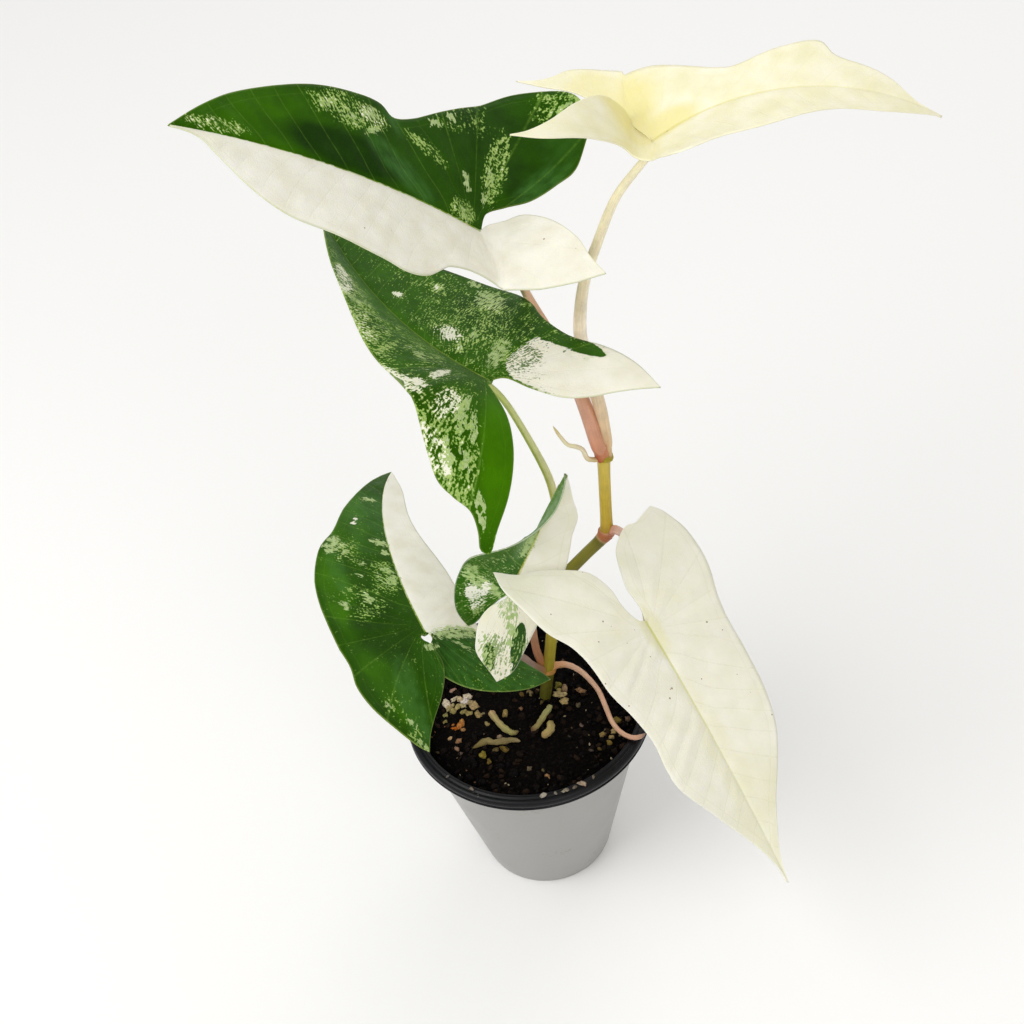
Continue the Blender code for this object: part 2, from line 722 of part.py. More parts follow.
def stalk_points(name):
    """The stalk's points with its end seated just under its blade."""
    leaf = LEAVES[CARRIED_BY[name]]
    bend, turn = blade_bend(leaf)
    facing = turn.col[2]
    points = list(PETIOLES[name])
    drop = BLADE_THICKNESS / 2 + GAP + SEAT_ROOM[name]
    end = bend("left", 0.0, 0.0) - facing * drop
    return [*points, (*end, PETIOLE_TIP_RADIUS)]


def build():
    for obj in list(bpy.data.objects):
        bpy.data.objects.remove(obj)
    parts = make_collection(OBJECT_NAME, False)
    cutters = make_collection("cutters", True)
    make_pot(parts, cutters)
    make_soil(parts, cutters, STEM_PATH)
    make_tube("stem", STEM_PATH, STEM_STEPS, STEM_SIDES, parts)
    clearance = make_tube("stem_clearance", STEM_PATH, STEM_STEPS, STEM_SIDES, cutters, GAP)
    for name in PETIOLES:
        stalk = make_tube(name, stalk_points(name), PETIOLE_STEPS, PETIOLE_SIDES, parts)
        cut(stalk, clearance)
    for name, points in AERIAL_ROOTS.items():
        root = make_tube(name, points, PETIOLE_STEPS, PETIOLE_SIDES, parts)
        cut(root, clearance)
    for name, leaf in LEAVES.items():
        make_leaf(name, leaf, parts)


build()
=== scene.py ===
# Arrowhead plant in a small nursery pot: the looks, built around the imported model.
import math
import random
from functools import partial

import bmesh
import bpy
import numpy as np
from mathutils import Matrix, Vector, noise


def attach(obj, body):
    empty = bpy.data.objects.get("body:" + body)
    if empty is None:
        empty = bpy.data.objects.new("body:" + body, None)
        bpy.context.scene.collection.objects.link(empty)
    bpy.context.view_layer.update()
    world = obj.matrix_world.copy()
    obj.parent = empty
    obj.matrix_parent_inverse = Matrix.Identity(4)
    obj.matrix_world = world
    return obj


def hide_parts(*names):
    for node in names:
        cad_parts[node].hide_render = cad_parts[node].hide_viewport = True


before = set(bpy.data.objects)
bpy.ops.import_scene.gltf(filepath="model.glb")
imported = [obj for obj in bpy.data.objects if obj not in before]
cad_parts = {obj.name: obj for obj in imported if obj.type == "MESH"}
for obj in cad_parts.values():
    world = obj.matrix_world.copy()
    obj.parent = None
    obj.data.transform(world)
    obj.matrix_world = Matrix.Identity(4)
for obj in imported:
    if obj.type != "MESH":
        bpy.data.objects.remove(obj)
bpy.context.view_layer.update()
print("frame loaded:", len(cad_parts), "nodes")

mm = 0.001


# Small helpers

def hexToLinear(code):
    channels = [int(code[i:i + 2], 16) / 255 for i in (1, 3, 5)]
    linear = [c / 12.92 if c <= 0.04045 else ((c + 0.055) / 1.055) ** 2.4 for c in channels]
    return (*linear, 1.0)


def addNode(tree, kind, *inputs, **settings):
    # inputs fill the first sockets in turn; settings name a property, a socket or a ramp's stops.
    # A node stands for its first output, and a text with a hash for its colour.
    node = tree.nodes.new("ShaderNode" + kind)
    for name, value in [*enumerate(inputs), *settings.items()]:
        if name == "stops":
            elements = node.color_ramp.elements
            elements.remove(elements[-1])
            for index, (place, tone) in enumerate(value):
                element = elements.new(place) if index else elements[0]
                element.position = place
                element.color = hexToLinear(tone) if isinstance(tone, str) else (tone, tone, tone, 1.0)
        elif isinstance(name, str) and hasattr(node, name):
            setattr(node, name, value)
        elif isinstance(value, (bpy.types.Node, bpy.types.NodeSocket)):
            tree.links.new(getattr(value, "outputs", [value])[0], node.inputs[name])
        else:
            node.inputs[name].default_value = hexToLinear(value) if isinstance(value, str) else value
    return node


def newMaterial(name, settings):
    # returns the material, and addNode for its tree
    material = bpy.data.materials.new(name)
    material.use_nodes = True
    shader = material.node_tree.nodes["Principled BSDF"]
    for socket, value in settings.items():
        shader.inputs[socket].default_value = value
    return material, partial(addNode, material.node_tree)


def feedShader(material, links):
    # links: each socket of the shader that takes a pattern, and the node that gives it
    tree = material.node_tree
    for socket, node in links.items():
        tree.links.new(node.outputs[0], tree.nodes["Principled BSDF"].inputs[socket])
    return material


def addObject(name, shape, materials=()):
    # turns a bmesh into an object of the scene
    mesh = bpy.data.meshes.new(name)
    shape.to_mesh(mesh)
    shape.free()
    for material in materials:
        mesh.materials.append(material)
    thing = bpy.data.objects.new(name, mesh)
    bpy.context.scene.collection.objects.link(thing)
    return thing


def finishPiece(name, shape, materials, replaced=None):
    # turns a bmesh in millimetres into an object at the origin that rides with the plant
    bmesh.ops.scale(shape, vec=(mm, mm, mm), verts=shape.verts)
    piece = addObject(name, shape, materials)
    piece.data.shade_smooth()
    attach(piece, "root")
    if replaced:
        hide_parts(replaced)
    return piece


def camelName(start, node):
    # the node's words after its first, joined to the start
    return start + "".join(word.capitalize() for word in node.split("_")[1:])


def curvePoint(before, start, end, after, t):
    # a point of the Catmull-Rom line between start and end
    return 0.5 * (2 * start + (end - before) * t
                  + (2 * before - 5 * start + 4 * end - after) * t * t
                  + (3 * start - before - 3 * end + after) * t ** 3)


def smoothPath(points, steps):
    # a smooth line through the given points, with their radii
    rows = [np.array(point, float) for point in points]
    rows = [2 * rows[0] - rows[1], *rows, 2 * rows[-1] - rows[-2]]
    path = [curvePoint(*four, step / steps)
            for four in zip(rows, rows[1:], rows[2:], rows[3:]) for step in range(steps)]
    return [*path, rows[-2]]


# Camera, floor and light

camera = {
    "place": (4.7, -471.3, 667.5),      # mm
    "right": (0.990, -0.107, -0.104),   # the picture's own axes: it is rolled by 8.6 degrees
    "up": (0.149, 0.711, 0.687),
    "back": (0.0, -0.695, 0.719),
    "lens": 72.43,                      # mm, on a 36 mm square frame
    "frame": 36.0,
    "clip": (0.01, 50.0),               # m
}
studio = {
    "floorSize": 6.0,                   # m
    "floorColours": ("#f4f3f1", "#f7f6f4"),
    "worldColour": "#ffffff",
    "worldStrength": 0.62,
    # name: (place in m, size in m, watts)
    "lamps": {
        "softboxLeft": ((-0.75, -0.35, 1.15), 0.9, 9.0),
        "softboxFront": ((0.35, -1.1, 0.95), 0.8, 3.5),
        "softboxBack": ((0.5, 0.9, 1.0), 0.8, 2.5),
    },
    "aim": (0.02, 0.0, 0.17),
}


def setCamera():
    data = bpy.data.cameras.new("camera")
    data.lens = camera["lens"]
    data.sensor_width = camera["frame"]
    data.clip_start, data.clip_end = camera["clip"]
    body = bpy.data.objects.new("camera", data)
    turn = Matrix((camera["right"], camera["up"], camera["back"])).transposed()
    body.matrix_world = Matrix.Translation(Vector(camera["place"]) * mm) @ turn.to_4x4()
    bpy.context.scene.collection.objects.link(body)
    bpy.context.scene.camera = body


def setStudio():
    # painted floor: pale and matt, so that it only takes a soft shadow
    material, node = newMaterial("painted floor", {"Roughness": 0.9})
    cloud = node("TexNoise", node("TexCoord").outputs["Object"], Scale=1.5, Detail=2)
    feedShader(material, {"Base Color": node("MixRGB", cloud, *studio["floorColours"])})
    shape = bmesh.new()
    bmesh.ops.create_grid(shape, x_segments=2, y_segments=2, size=studio["floorSize"] / 2)
    floor = addObject("floor", shape, [material])
    world = bpy.data.worlds.new("studio")
    world.use_nodes = True
    sky = world.node_tree.nodes["Background"]
    sky.inputs["Color"].default_value = hexToLinear(studio["worldColour"])
    sky.inputs["Strength"].default_value = studio["worldStrength"]
    bpy.context.scene.world = world
    for name, (place, size, power) in studio["lamps"].items():
        light = bpy.data.lights.new(name, "AREA")
        light.size = size
        light.energy = power
        lamp = bpy.data.objects.new(name, light)
        lamp.location = place
        aim = Vector(studio["aim"]) - Vector(place)
        lamp.rotation_euler = aim.to_track_quat("-Z", "Y").to_euler()
        bpy.context.scene.collection.objects.link(lamp)


setCamera()
setStudio()
bpy.context.scene.view_settings.view_transform = "Standard"
print("camera, floor and light set")


# The pot: a tapered body with a thick rolled collar

pot = {
    "height": 80.0,
    "collarRadius": 45.0,
    "collarHeight": 4.6,
    "lipRadius": 40.6,
    "baseRadius": 24.5,
    "wall": 1.3,
    "steps": 160,
    "drainHoles": 6,
    "drainRadius": 3.0,
    "drainRing": 15.0,
    "drillSides": 40,
    "sharpFrom": 50,                            # degrees
    "darkColours": ("#060609", "#0c0c11"),      # inside and collar
    "bodyColours": ("#9a9996", "#a3a29f"),
    "dustColour": "#8f8578",
}


def wallRadius(z):
    # inner radius of the wall at a height
    top = pot["lipRadius"] - 0.4
    bottom = pot["baseRadius"] - pot["wall"]
    share = (z - pot["wall"]) / (pot["height"] - pot["collarHeight"] - pot["wall"])
    return bottom + (top - bottom) * share


def potProfile():
    # (radius, height) from the inside of the base up the inner wall, over the collar and down
    wall, height, lip = pot["wall"], pot["height"], pot["lipRadius"]
    collar, base = pot["collarRadius"], pot["baseRadius"]
    under = height - pot["collarHeight"]
    rings = (10.0, 24.0, 38.0, 52.0, 66.0)
    inner = [(0.0, wall), (12.0, wall), (wallRadius(wall) - 1.0, wall), (wallRadius(2.4), 2.4)]
    inner += [(wallRadius(z), z) for z in (*rings, under)]
    # places out from the lip and up from the rim: the ledge, the crown and the crease
    rim = [(-0.1, -2.4), (0.0, -0.9), (0.25, -0.35), (0.7, -0.05), (1.3, 0.0), (1.7, -0.12),
           (2.0, -0.55), (2.25, -0.6), (2.5, -0.3)]
    roll = []
    for step in range(9):
        angle = math.radians(95 - step * 19)
        across = (collar - lip - 2.5) * max(math.cos(angle), 0.0) ** 0.8
        roll.append((lip + 2.5 + across, height - 1.9 + 1.75 * math.sin(angle)))
    skirt = [(collar - 0.15, under + 0.5), (collar - 0.45, under), (collar - 0.9, under - 0.1),
             (wallRadius(under) + wall + 0.5, under + 0.1), (wallRadius(under) + wall, under - 0.4)]
    outer = [(wallRadius(z) + wall, z) for z in (*rings[::-1], 2.0)]
    foot = [(base - 0.35, 0.5), (base - 1.2, 0.0), (10.0, 0.0), (0.0, 0.0)]
    return inner + [(lip + out, height + up) for out, up in rim] + roll + skirt + outer + foot


def plasticMaterial():
    # injection-moulded polypropylene: a soft sheen with fine moulding lines down the wall,
    # black inside and on the collar, pale grey on the body, with a little dust
    material, node = newMaterial("moulded polypropylene", {"IOR": 1.49, "Specular IOR Level": 0.22})
    place = node("TexCoord").outputs["Object"]
    x, y, z = node("SeparateXYZ", place).outputs
    radius = node("VectorMath", node("CombineXYZ", x, y), operation="LENGTH").outputs["Value"]
    under = pot["height"] - pot["collarHeight"]
    # body: below the collar and outside the inner wall
    slope = (pot["lipRadius"] - pot["baseRadius"] + 1.0) / under
    wallAt = node("Math", z, slope, (pot["baseRadius"] - 0.75) * mm, operation="MULTIPLY_ADD")
    outside = node("Math", radius, wallAt, operation="GREATER_THAN")
    below = node("Math", z, (under - 0.25) * mm, operation="LESS_THAN")
    body = node("Math", outside, below, operation="MULTIPLY")
    low = node("Math", z, 0.6 * mm, operation="LESS_THAN")
    pale = node("Math", body, low, operation="MAXIMUM")
    cloud = node("TexNoise", place, Scale=70, Detail=4)
    tone = node("MixRGB", pale, node("MixRGB", cloud, *pot["darkColours"]),
                node("MixRGB", cloud, *pot["bodyColours"]))
    # dust: specks about 0.4 mm across, in patches of 6 mm
    specks = node("TexNoise", place, Scale=900, Detail=3)
    patches = node("TexNoise", place, Scale=60, Detail=2)
    dust = node("ValToRGB", node("Math", specks, patches, operation="MULTIPLY"),
                stops=[(0.36, 0.0), (0.46, 0.5)])
    # moulding lines every 0.5 mm down the wall, and a faint grain
    lines = node("TexWave", place, bands_direction="Z", Scale=320, Distortion=1.5, Detail=2)
    height = node("Math", lines.outputs["Fac"], 0.25, specks, operation="MULTIPLY_ADD")
    return feedShader(material, {
        "Base Color": node("MixRGB", dust, tone, pot["dustColour"]),
        "Roughness": node("ValToRGB", cloud, stops=[(0.3, 0.30), (0.7, 0.44)]),
        "Normal": node("Bump", Strength=0.12, Distance=0.0003, Height=height)})


def makePot():
    shape = bmesh.new()
    points = [shape.verts.new((radius, 0.0, z)) for radius, z in potProfile()]
    edges = [shape.edges.new(pair) for pair in zip(points, points[1:])]
    bmesh.ops.spin(shape, geom=[*points, *edges], cent=(0, 0, 0), axis=(0, 0, 1),
                   angle=math.tau, steps=pot["steps"], use_merge=True)
    bmesh.ops.remove_doubles(shape, verts=shape.verts, dist=0.001)
    bmesh.ops.recalc_face_normals(shape, faces=shape.faces)
    blank = addObject("potWall", shape)
    drills = bmesh.new()
    for number in range(pot["drainHoles"]):
        angle = math.tau * number / pot["drainHoles"]
        spot = (pot["drainRing"] * math.cos(angle), pot["drainRing"] * math.sin(angle), 0.0)
        bmesh.ops.create_cone(drills, cap_ends=True, segments=pot["drillSides"], depth=8.0,
                              radius1=pot["drainRadius"], radius2=pot["drainRadius"],
                              matrix=Matrix.Translation(spot))
    drill = addObject("drainDrills", drills)
    cut = blank.modifiers.new("drainHoles", "BOOLEAN")
    cut.operation = "DIFFERENCE"
    cut.object = drill
    evaluated = blank.evaluated_get(bpy.context.evaluated_depsgraph_get())
    whole = bmesh.new()
    whole.from_mesh(bpy.data.meshes.new_from_object(evaluated))
    bpy.data.objects.remove(blank)
    bpy.data.objects.remove(drill)
    piece = finishPiece("nurseryPot", whole, [plasticMaterial()], "pot")
    piece.data.set_sharp_from_angle(angle=math.radians(pot["sharpFrom"]))


makePot()
print("pot made")


# Growing mix: a dark body, crumbs of peat and bark, pale grit and bits of old root

mix = dict(
    level=72.0, relief=0.9, lumps=0.9, steps=120,
    sideHeights=(36.0, 1.6),                    # where the side of the body has its lower edges
    crumbs=1500,
    crumbSizes=(0.35, 1.3),                     # mm, smallest and largest radius
    crumbColours=["#060403", "#0b0706", "#120b08", "#1a110b", "#080505", "#26190f", "#140d09"],
    grains=110, grainSizes=(0.25, 0.6),
    grainColours=["#8a7a60", "#6f5e44", "#a3957c", "#7c5434", "#54442c", "#9a8a70"],
    # x, y, radius and colour of the larger grains seen on the mix
    seen=[(-30, 11, 1.6, "#d8c8b0"), (-27, 17, 1.1, "#b08a78"), (-25, 12, 1.3, "#c9b48e"),
        (-23, 11, 1.3, "#dccfc6"), (-20, 8, 1.7, "#b59a6e"), (-19, 4, 1.5, "#a89060"),
        (-28, 7, 1.5, "#a3925c"), (-31, 6, 1.3, "#8a8250"), (-28, -1, 1, "#b5601e"),
        (-30, -5, 1.1, "#b09068"), (-25, -2, 1.1, "#a87e50"), (-27, -7, 1, "#8f6a4c"),
        (-28, -11, 1, "#9c7a62"), (-16, -1, 1.3, "#9c8a5c"), (-9, 2, 1.4, "#9a8450"),
        (-3, 3, 0.9, "#8a6448"), (-2, 10, 1, "#70582c"), (1, 10, 1, "#7a6a48"), (4, 10, 0.9, "#6c5c38"),
        (-12, -8, 1.3, "#9a826a"), (-11, -14, 1.4, "#6e5a2a"), (-19, -16, 1.4, "#80702c"),
        (-17, -19, 0.9, "#6e5a28"), (-1, -22, 0.9, "#5a4038"), (-3, -24, 1, "#6a5c48"),
        (2, -25, 1, "#5e5436"), (3, -29, 1.3, "#9a7450"), (7, -20, 0.7, "#5c5450"),
        (14, 9, 1.3, "#a08464"), (11, 7, 1.3, "#b8a472"), (13, 3, 1.4, "#b8a06c"),
        (11, 11, 1.2, "#6c6224"), (20, 7, 1.3, "#8c6a4c"), (18, 1, 1, "#5e5440"),
        (15, 23, 0.8, "#6a5040"), (18, -8, 0.9, "#6e5c50"), (31, -9, 1.1, "#7c6a34"),
        (35, -9, 1, "#6a5444"), (25, -14, 1.2, "#8c7648"), (13, -13, 0.8, "#4a4030"),
        (-31, 3, 1.1, "#7e7442"), (-22, 5, 1.2, "#9a8a58"), (-17, 4, 0.8, "#8a7a5c"),
        (-14, -14, 0.9, "#5e5030"), (-27, -13, 0.7, "#5a4a40"), (15, -18, 0.7, "#54443a"),
        (20, -20, 0.8, "#4e4238"), (11, -24, 0.8, "#6a5a48"), (8, 10, 1, "#8a7a50"),
        (5, 5, 0.7, "#5a4a2c"), (-29, 9, 1.3, "#b8a678"), (-26, 9, 1.4, "#a89864"),
        (-24, 9, 1.2, "#b4a478"), (-22, 13, 1.5, "#d0c0a8"), (-21, 10, 1.3, "#a08a64"),
        (-27, 13, 1.4, "#cbbba0"), (-24, 6, 1.1, "#8f8250"), (-26, 0, 1.4, "#b07038"),
        (-25, 1.5, 1.1, "#c08848"), (-28.5, 1, 1, "#a8682c"), (12, 9, 1.2, "#a8985c"),
        (13, 6, 1.3, "#c0ac7c"), (14, 4, 1, "#b09868"), (12, 12, 1, "#7c7434"), (28, -16, 0.9, "#a08858"),
        (29, -13, 1.1, "#a48c5c"), (27, -18, 1, "#7a6430"), (23, -20, 0.8, "#5e4c28")],
    # bits that lie on the near part of the rim
    onRim=[(0.6, -42.4, 1, "#a39a8c"), (8.6, -41.8, 1, "#8c8270"), (14.6, -40, 1.2, "#a08c78"),
        (12, -40.9, 0.7, "#6e6456"), (-24, -35, 0.7, "#7a6e64"), (-32, -28, 0.6, "#6a625a"),
        (5, -42.2, 0.6, "#7c7468"), (19, -37.6, 0.6, "#6e6456")],
    seed=11,
)
# name: path with radii, and colours along it
rootStubs = {
    "left": [[(-14.2, 3.8, 72.2, 0.9), (-13.6, 2, 73.6, 1.3), (-12.1, -1.6, 73.6, 1.1),
        (-9.6, -5.4, 73.5, 1.2), (-7.2, -7.6, 73.4, 1), (-4.8, -7, 73, 0.7)], [(0, "#b98a6c"),
        (0.35, "#b3a06a"), (0.7, "#a39a5c"), (1, "#6e5c38")]],
    "front": [[(7.9, 2.2, 72.6, 0.9), (7.2, 0.6, 73.8, 1.1), (4.8, -2.8, 74, 1.1), (2, -6.2, 73.4, 1),
        (-0.4, -7.6, 72.9, 1.2)], [(0, "#b5b478"), (0.4, "#a8a468"), (0.75, "#948652"), (1, "#6c4a2c")]],
    "bean": [[(6.6, -4.8, 73.2, 1), (7, -7.4, 73.8, 1.4), (6, -9.6, 73.7, 1.5),
        (3.2, -11.4, 73.2, 1.4)], [(0, "#9c8a4c"), (0.5, "#b8a468"), (1, "#b0945c")]],
    "long": [[(-22.4, -11.4, 72.8, 0.8), (-17.4, -9.8, 73.5, 1.3), (-14.4, -10.6, 73.4, 1),
        (-10.6, -10.9, 73.5, 1.2), (-7.4, -10.8, 73.3, 0.9), (-4.8, -11.6, 72.9, 0.8)], [(0, "#6e602c"),
        (0.3, "#8a7a4c"), (0.7, "#827248"), (1, "#9a8a60")]],
}


def mixHeight(x, y):
    # how high the loose crumbs lie
    broad = math.sin(0.11 * x + 0.7) * math.cos(0.13 * y - 0.4)
    fine = 0.5 * math.sin(0.41 * x + 0.29 * y) * math.cos(0.37 * y - 0.23 * x + 1.1)
    lumps = noise.noise(Vector((x, y, 3.0)) * 0.45) + 0.6 * noise.noise(Vector((x, y, 9.0)) * 1.1)
    return mix["level"] + mix["relief"] * (broad + fine) + mix["lumps"] * lumps


def mixMaterial():
    # peat and composted bark: nearly black, matt and crumbly, with fibres a little paler
    material, node = newMaterial("peat and bark mix", {"Roughness": 0.95, "Specular IOR Level": 0.08})
    place = node("TexCoord").outputs["Object"]
    tone = node("ValToRGB", node("TexNoise", place, Scale=900, Detail=6),
                stops=[(0.35, "#020101"), (0.6, "#0b0705"), (0.75, "#20150d")])
    crumbs = node("TexVoronoi", place, Scale=650)
    bump = node("Bump", Strength=0.9, Distance=0.0006, Height=crumbs)
    return feedShader(material, {"Base Color": tone, "Normal": bump})


def crumbMaterial():
    # loose bits: each has its own colour, darker in its pores
    material, node = newMaterial("bark crumbs and grit",
                                 {"Roughness": 0.9, "Specular IOR Level": 0.12})
    grain = node("TexNoise", node("TexCoord").outputs["Object"], Scale=1400, Detail=4)
    pores = node("ValToRGB", grain, stops=[(0.3, 0.45), (0.6, 1.1)])
    own = node("Attribute", attribute_name="tint")
    bump = node("Bump", Strength=0.7, Distance=0.0003, Height=grain)
    return feedShader(material, {"Base Color": node("MixRGB", 1.0, own, pores, blend_type="MULTIPLY"),
                                 "Normal": bump})


def addCrumb(shape, place, radius, rng, colour, squash=(1.25, 0.9, 0.6)):
    # a small uneven lump with a few dozen faces, that sinks into what it lies on
    made = bmesh.ops.create_icosphere(shape, subdivisions=1 if radius < 0.6 else 2, radius=radius)
    seat = Vector(place) * 3.0
    for vertex in made["verts"]:
        dents = noise.noise(vertex.co / radius * 1.4 + seat)
        vertex.co *= 1.0 + 0.7 * dents + 0.18 * (rng.random() - 0.5)
    turn = Matrix.Rotation(rng.random() * math.tau, 4, "Z")
    turn = turn @ Matrix.Rotation((rng.random() - 0.5) * 1.6, 4, "X")
    bmesh.ops.transform(shape, matrix=Matrix.Translation(place) @ turn
                        @ Matrix.Diagonal((*squash, 1.0)), verts=made["verts"])
    tint = shape.verts.layers.float_color["tint"]
    for vertex in made["verts"]:
        vertex[tint] = hexToLinear(colour)


def makeMixBody(side):
    # the plain mass under the crumbs: a disc, a little higher in the middle, whose edge is
    # drawn down to the base of the pot
    body = bmesh.new()
    bmesh.ops.create_circle(body, cap_ends=True, segments=mix["steps"], radius=side)
    bmesh.ops.poke(body, faces=list(body.faces))
    for vertex in body.verts:
        x, y = vertex.co.xy
        vertex.co.z = mixHeight(x, y) if math.hypot(x, y) < side / 2 else mix["level"]
    for z in mix["sideHeights"]:
        rim = [edge for edge in body.edges if edge.is_boundary]
        made = bmesh.ops.extrude_edge_only(body, edges=rim)
        for vertex in made["geom"]:
            if isinstance(vertex, bmesh.types.BMVert):
                reach = (wallRadius(z) - 0.4) / math.hypot(vertex.co.x, vertex.co.y)
                vertex.co = (vertex.co.x * reach, vertex.co.y * reach, z)
    bmesh.ops.contextual_create(body, geom=[edge for edge in body.edges if edge.is_boundary])
    bmesh.ops.recalc_face_normals(body, faces=body.faces)
    finishPiece("growingMix", body, [mixMaterial()], "soil")


def scatter(rng, reach):
    # a random place on a disc
    reach *= math.sqrt(rng.random())
    angle = rng.random() * math.tau
    return reach * math.cos(angle), reach * math.sin(angle)


def makeMix():
    rng = random.Random(mix["seed"])
    side = wallRadius(mix["level"]) - 0.25
    makeMixBody(side)
    loose = crumbMaterial()
    crumbs = bmesh.new()
    crumbs.verts.layers.float_color.new("tint")
    small, large = mix["crumbSizes"]
    for number in range(mix["crumbs"]):
        x, y = scatter(rng, side - 1.0)
        radius = small + (large - small) * rng.random() ** 3
        place = (x, y, mixHeight(x, y) + 0.25 * radius)
        addCrumb(crumbs, place, radius, rng, rng.choice(mix["crumbColours"]))
    finishPiece("barkCrumbs", crumbs, [loose])

    grains = bmesh.new()
    grains.verts.layers.float_color.new("tint")
    small, large = mix["grainSizes"]
    spots = [(*scatter(rng, side - 1.5), small + (large - small) * rng.random(),
              rng.choice(mix["grainColours"])) for number in range(mix["grains"])]
    for x, y, radius, colour in [*spots, *mix["seen"]]:
        inward = min((side - 1.2) / math.hypot(x, y), 1.0)
        x, y = x * inward, y * inward
        squash = (0.8 + 0.7 * rng.random(), 0.7 + 0.4 * rng.random(), 0.7)
        addCrumb(grains, (x, y, mixHeight(x, y) + 0.6 * radius), radius, rng, colour, squash)
    for x, y, radius, colour in mix["onRim"]:
        addCrumb(grains, (x, y, pot["height"] + 0.6 * radius), radius, rng, colour, (1.3, 0.8, 0.6))
    finishPiece("paleGrit", grains, [loose])


makeMix()
print("growing mix made")


# Tubes: the stem, stalks and roots are grids wrapped round a smooth line

def tubeFrames(path):
    # two axes across the line at each of its points, turned as little as possible
    places = [Vector(point[:3]) for point in path]
    ahead = [(after - before).normalized()
             for before, after in zip([places[0], *places[:-1]], [*places[1:], places[-1]])]
    side = ahead[0].orthogonal().normalized()
    frames = []
    for place, way in zip(places, ahead):
        side = (side - way * side.dot(way)).normalized()
        frames.append((place, side, way.cross(side), way))
    return frames


def lengthsAlong(rows):
    # the length of a line up to each of its points
    lengths = [0.0]
    for first, second in zip(rows, rows[1:]):
        lengths.append(lengths[-1] + float(np.linalg.norm(second - first)))
    return lengths


def addTube(shape, path, sides, reach, facing=None):
    # path: rows of x, y, z and radius. reach(share, angle, radius) gives the surface's radius.
    frames = tubeFrames(path)
    lengths = lengthsAlong([point[:3] for point in path])
    rows = len(path) - 1
    if "share" not in shape.verts.layers.float:
        shape.verts.layers.float_color.new("tint")
        shape.verts.layers.float.new("share")
        shape.loops.layers.uv.new("along")
    uvLayer = shape.loops.layers.uv["along"]
    shareLayer = shape.verts.layers.float["share"]
    made = bmesh.ops.create_grid(shape, x_segments=sides, y_segments=rows, size=0.5)
    spots = {}
    for vertex in made["verts"]:
        turn = (vertex.co.x + 0.5) * math.tau
        row = round((vertex.co.y + 0.5) * rows)
        spots[vertex] = (turn / math.tau, lengths[row] / 10)
        place, side, over, way = frames[row]
        if facing is not None:
            # angle 0 looks towards the given direction
            side = (facing - way * facing.dot(way)).normalized()
            over = way.cross(side)
        radius = reach(row / rows, turn, float(path[row][3]))
        vertex.co = place + (side * math.cos(turn) + over * math.sin(turn)) * radius
        vertex[shareLayer] = row / rows
    for face in {face for vertex in made["verts"] for face in vertex.link_faces}:
        for loop in face.loops:
            loop[uvLayer].uv = spots[loop.vert]
    bmesh.ops.remove_doubles(shape, verts=made["verts"], dist=0.0005)
    kept = [vertex for vertex in made["verts"] if vertex.is_valid]
    for end in (0.0, 1.0):
        rim = {edge for vertex in kept for edge in vertex.link_edges
               if edge.is_boundary and abs(edge.verts[0][shareLayer] - end) < 0.5 / rows}
        cap = bmesh.ops.contextual_create(shape, geom=list(rim))
        bmesh.ops.poke(shape, faces=cap["faces"])
    return kept


def stopColour(stops, share):
    # colour at a share of the length, between stops of (share, hex)
    for (start, first), (end, second) in zip(stops, stops[1:]):
        if share <= end:
            t = min(max((share - start) / (end - start), 0.0), 1.0)
            t = t * t * (3 - 2 * t)
            return tuple(a + (b - a) * t for a, b in zip(hexToLinear(first), hexToLinear(second)))
    return hexToLinear(stops[-1][1])


def paintTube(shape, vertices, stops, aside=None):
    # aside: stops of the side that looks towards +X
    tint = shape.verts.layers.float_color["tint"]
    share = shape.verts.layers.float["share"]
    for vertex in vertices:
        colour = stopColour(stops, vertex[share])
        if aside:
            other = stopColour(aside, vertex[share])
            part = min(max(0.5 + 1.1 * vertex.normal.x, 0.0), 1.0)
            colour = tuple(one + (two - one) * part for one, two in zip(colour, other))
        vertex[tint] = colour


def stalkMaterial(name, roughness, streaks):
    # living stalk: waxy skin with fine lengthwise lines and small specks, lit a little from inside
    material, node = newMaterial(name, {
        "Roughness": roughness, "IOR": 1.42, "Subsurface Weight": 0.12, "Subsurface Scale": 0.002,
        "Subsurface Radius": (1.0, 0.6, 0.3)})
    own = node("Attribute", attribute_name="tint")
    # lines run the length of the stalk: 26 round it, drawn out 12 times as long
    stretch = node("Mapping", node("UVMap", uv_map="along"), Scale=(26.0, 1.2, 1.0))
    lines = node("TexNoise", stretch, Scale=1, Detail=3)
    place = node("TexCoord").outputs["Object"]
    blotch = node("TexNoise", place, Scale=260, Detail=4)
    tone = node("ValToRGB", lines, stops=[(0.3, 1.0 - streaks), (0.7, 1.0 + 0.6 * streaks)])
    tone = node("MixRGB", 1.0, own, tone, blend_type="MULTIPLY")
    patch = node("ValToRGB", blotch, stops=[(0.35, 0.93), (0.65, 1.05)])
    tone = node("MixRGB", 1.0, tone, patch, blend_type="MULTIPLY")
    specks = node("ValToRGB", node("TexVoronoi", place, Scale=900), stops=[(0.08, 0.35), (0.16, 0.0)])
    bump = node("Bump", Strength=0.35, Distance=0.0003, Height=lines)
    return feedShader(material, {"Base Color": node("MixRGB", specks, tone, "#6b4a2c"), "Normal": bump})


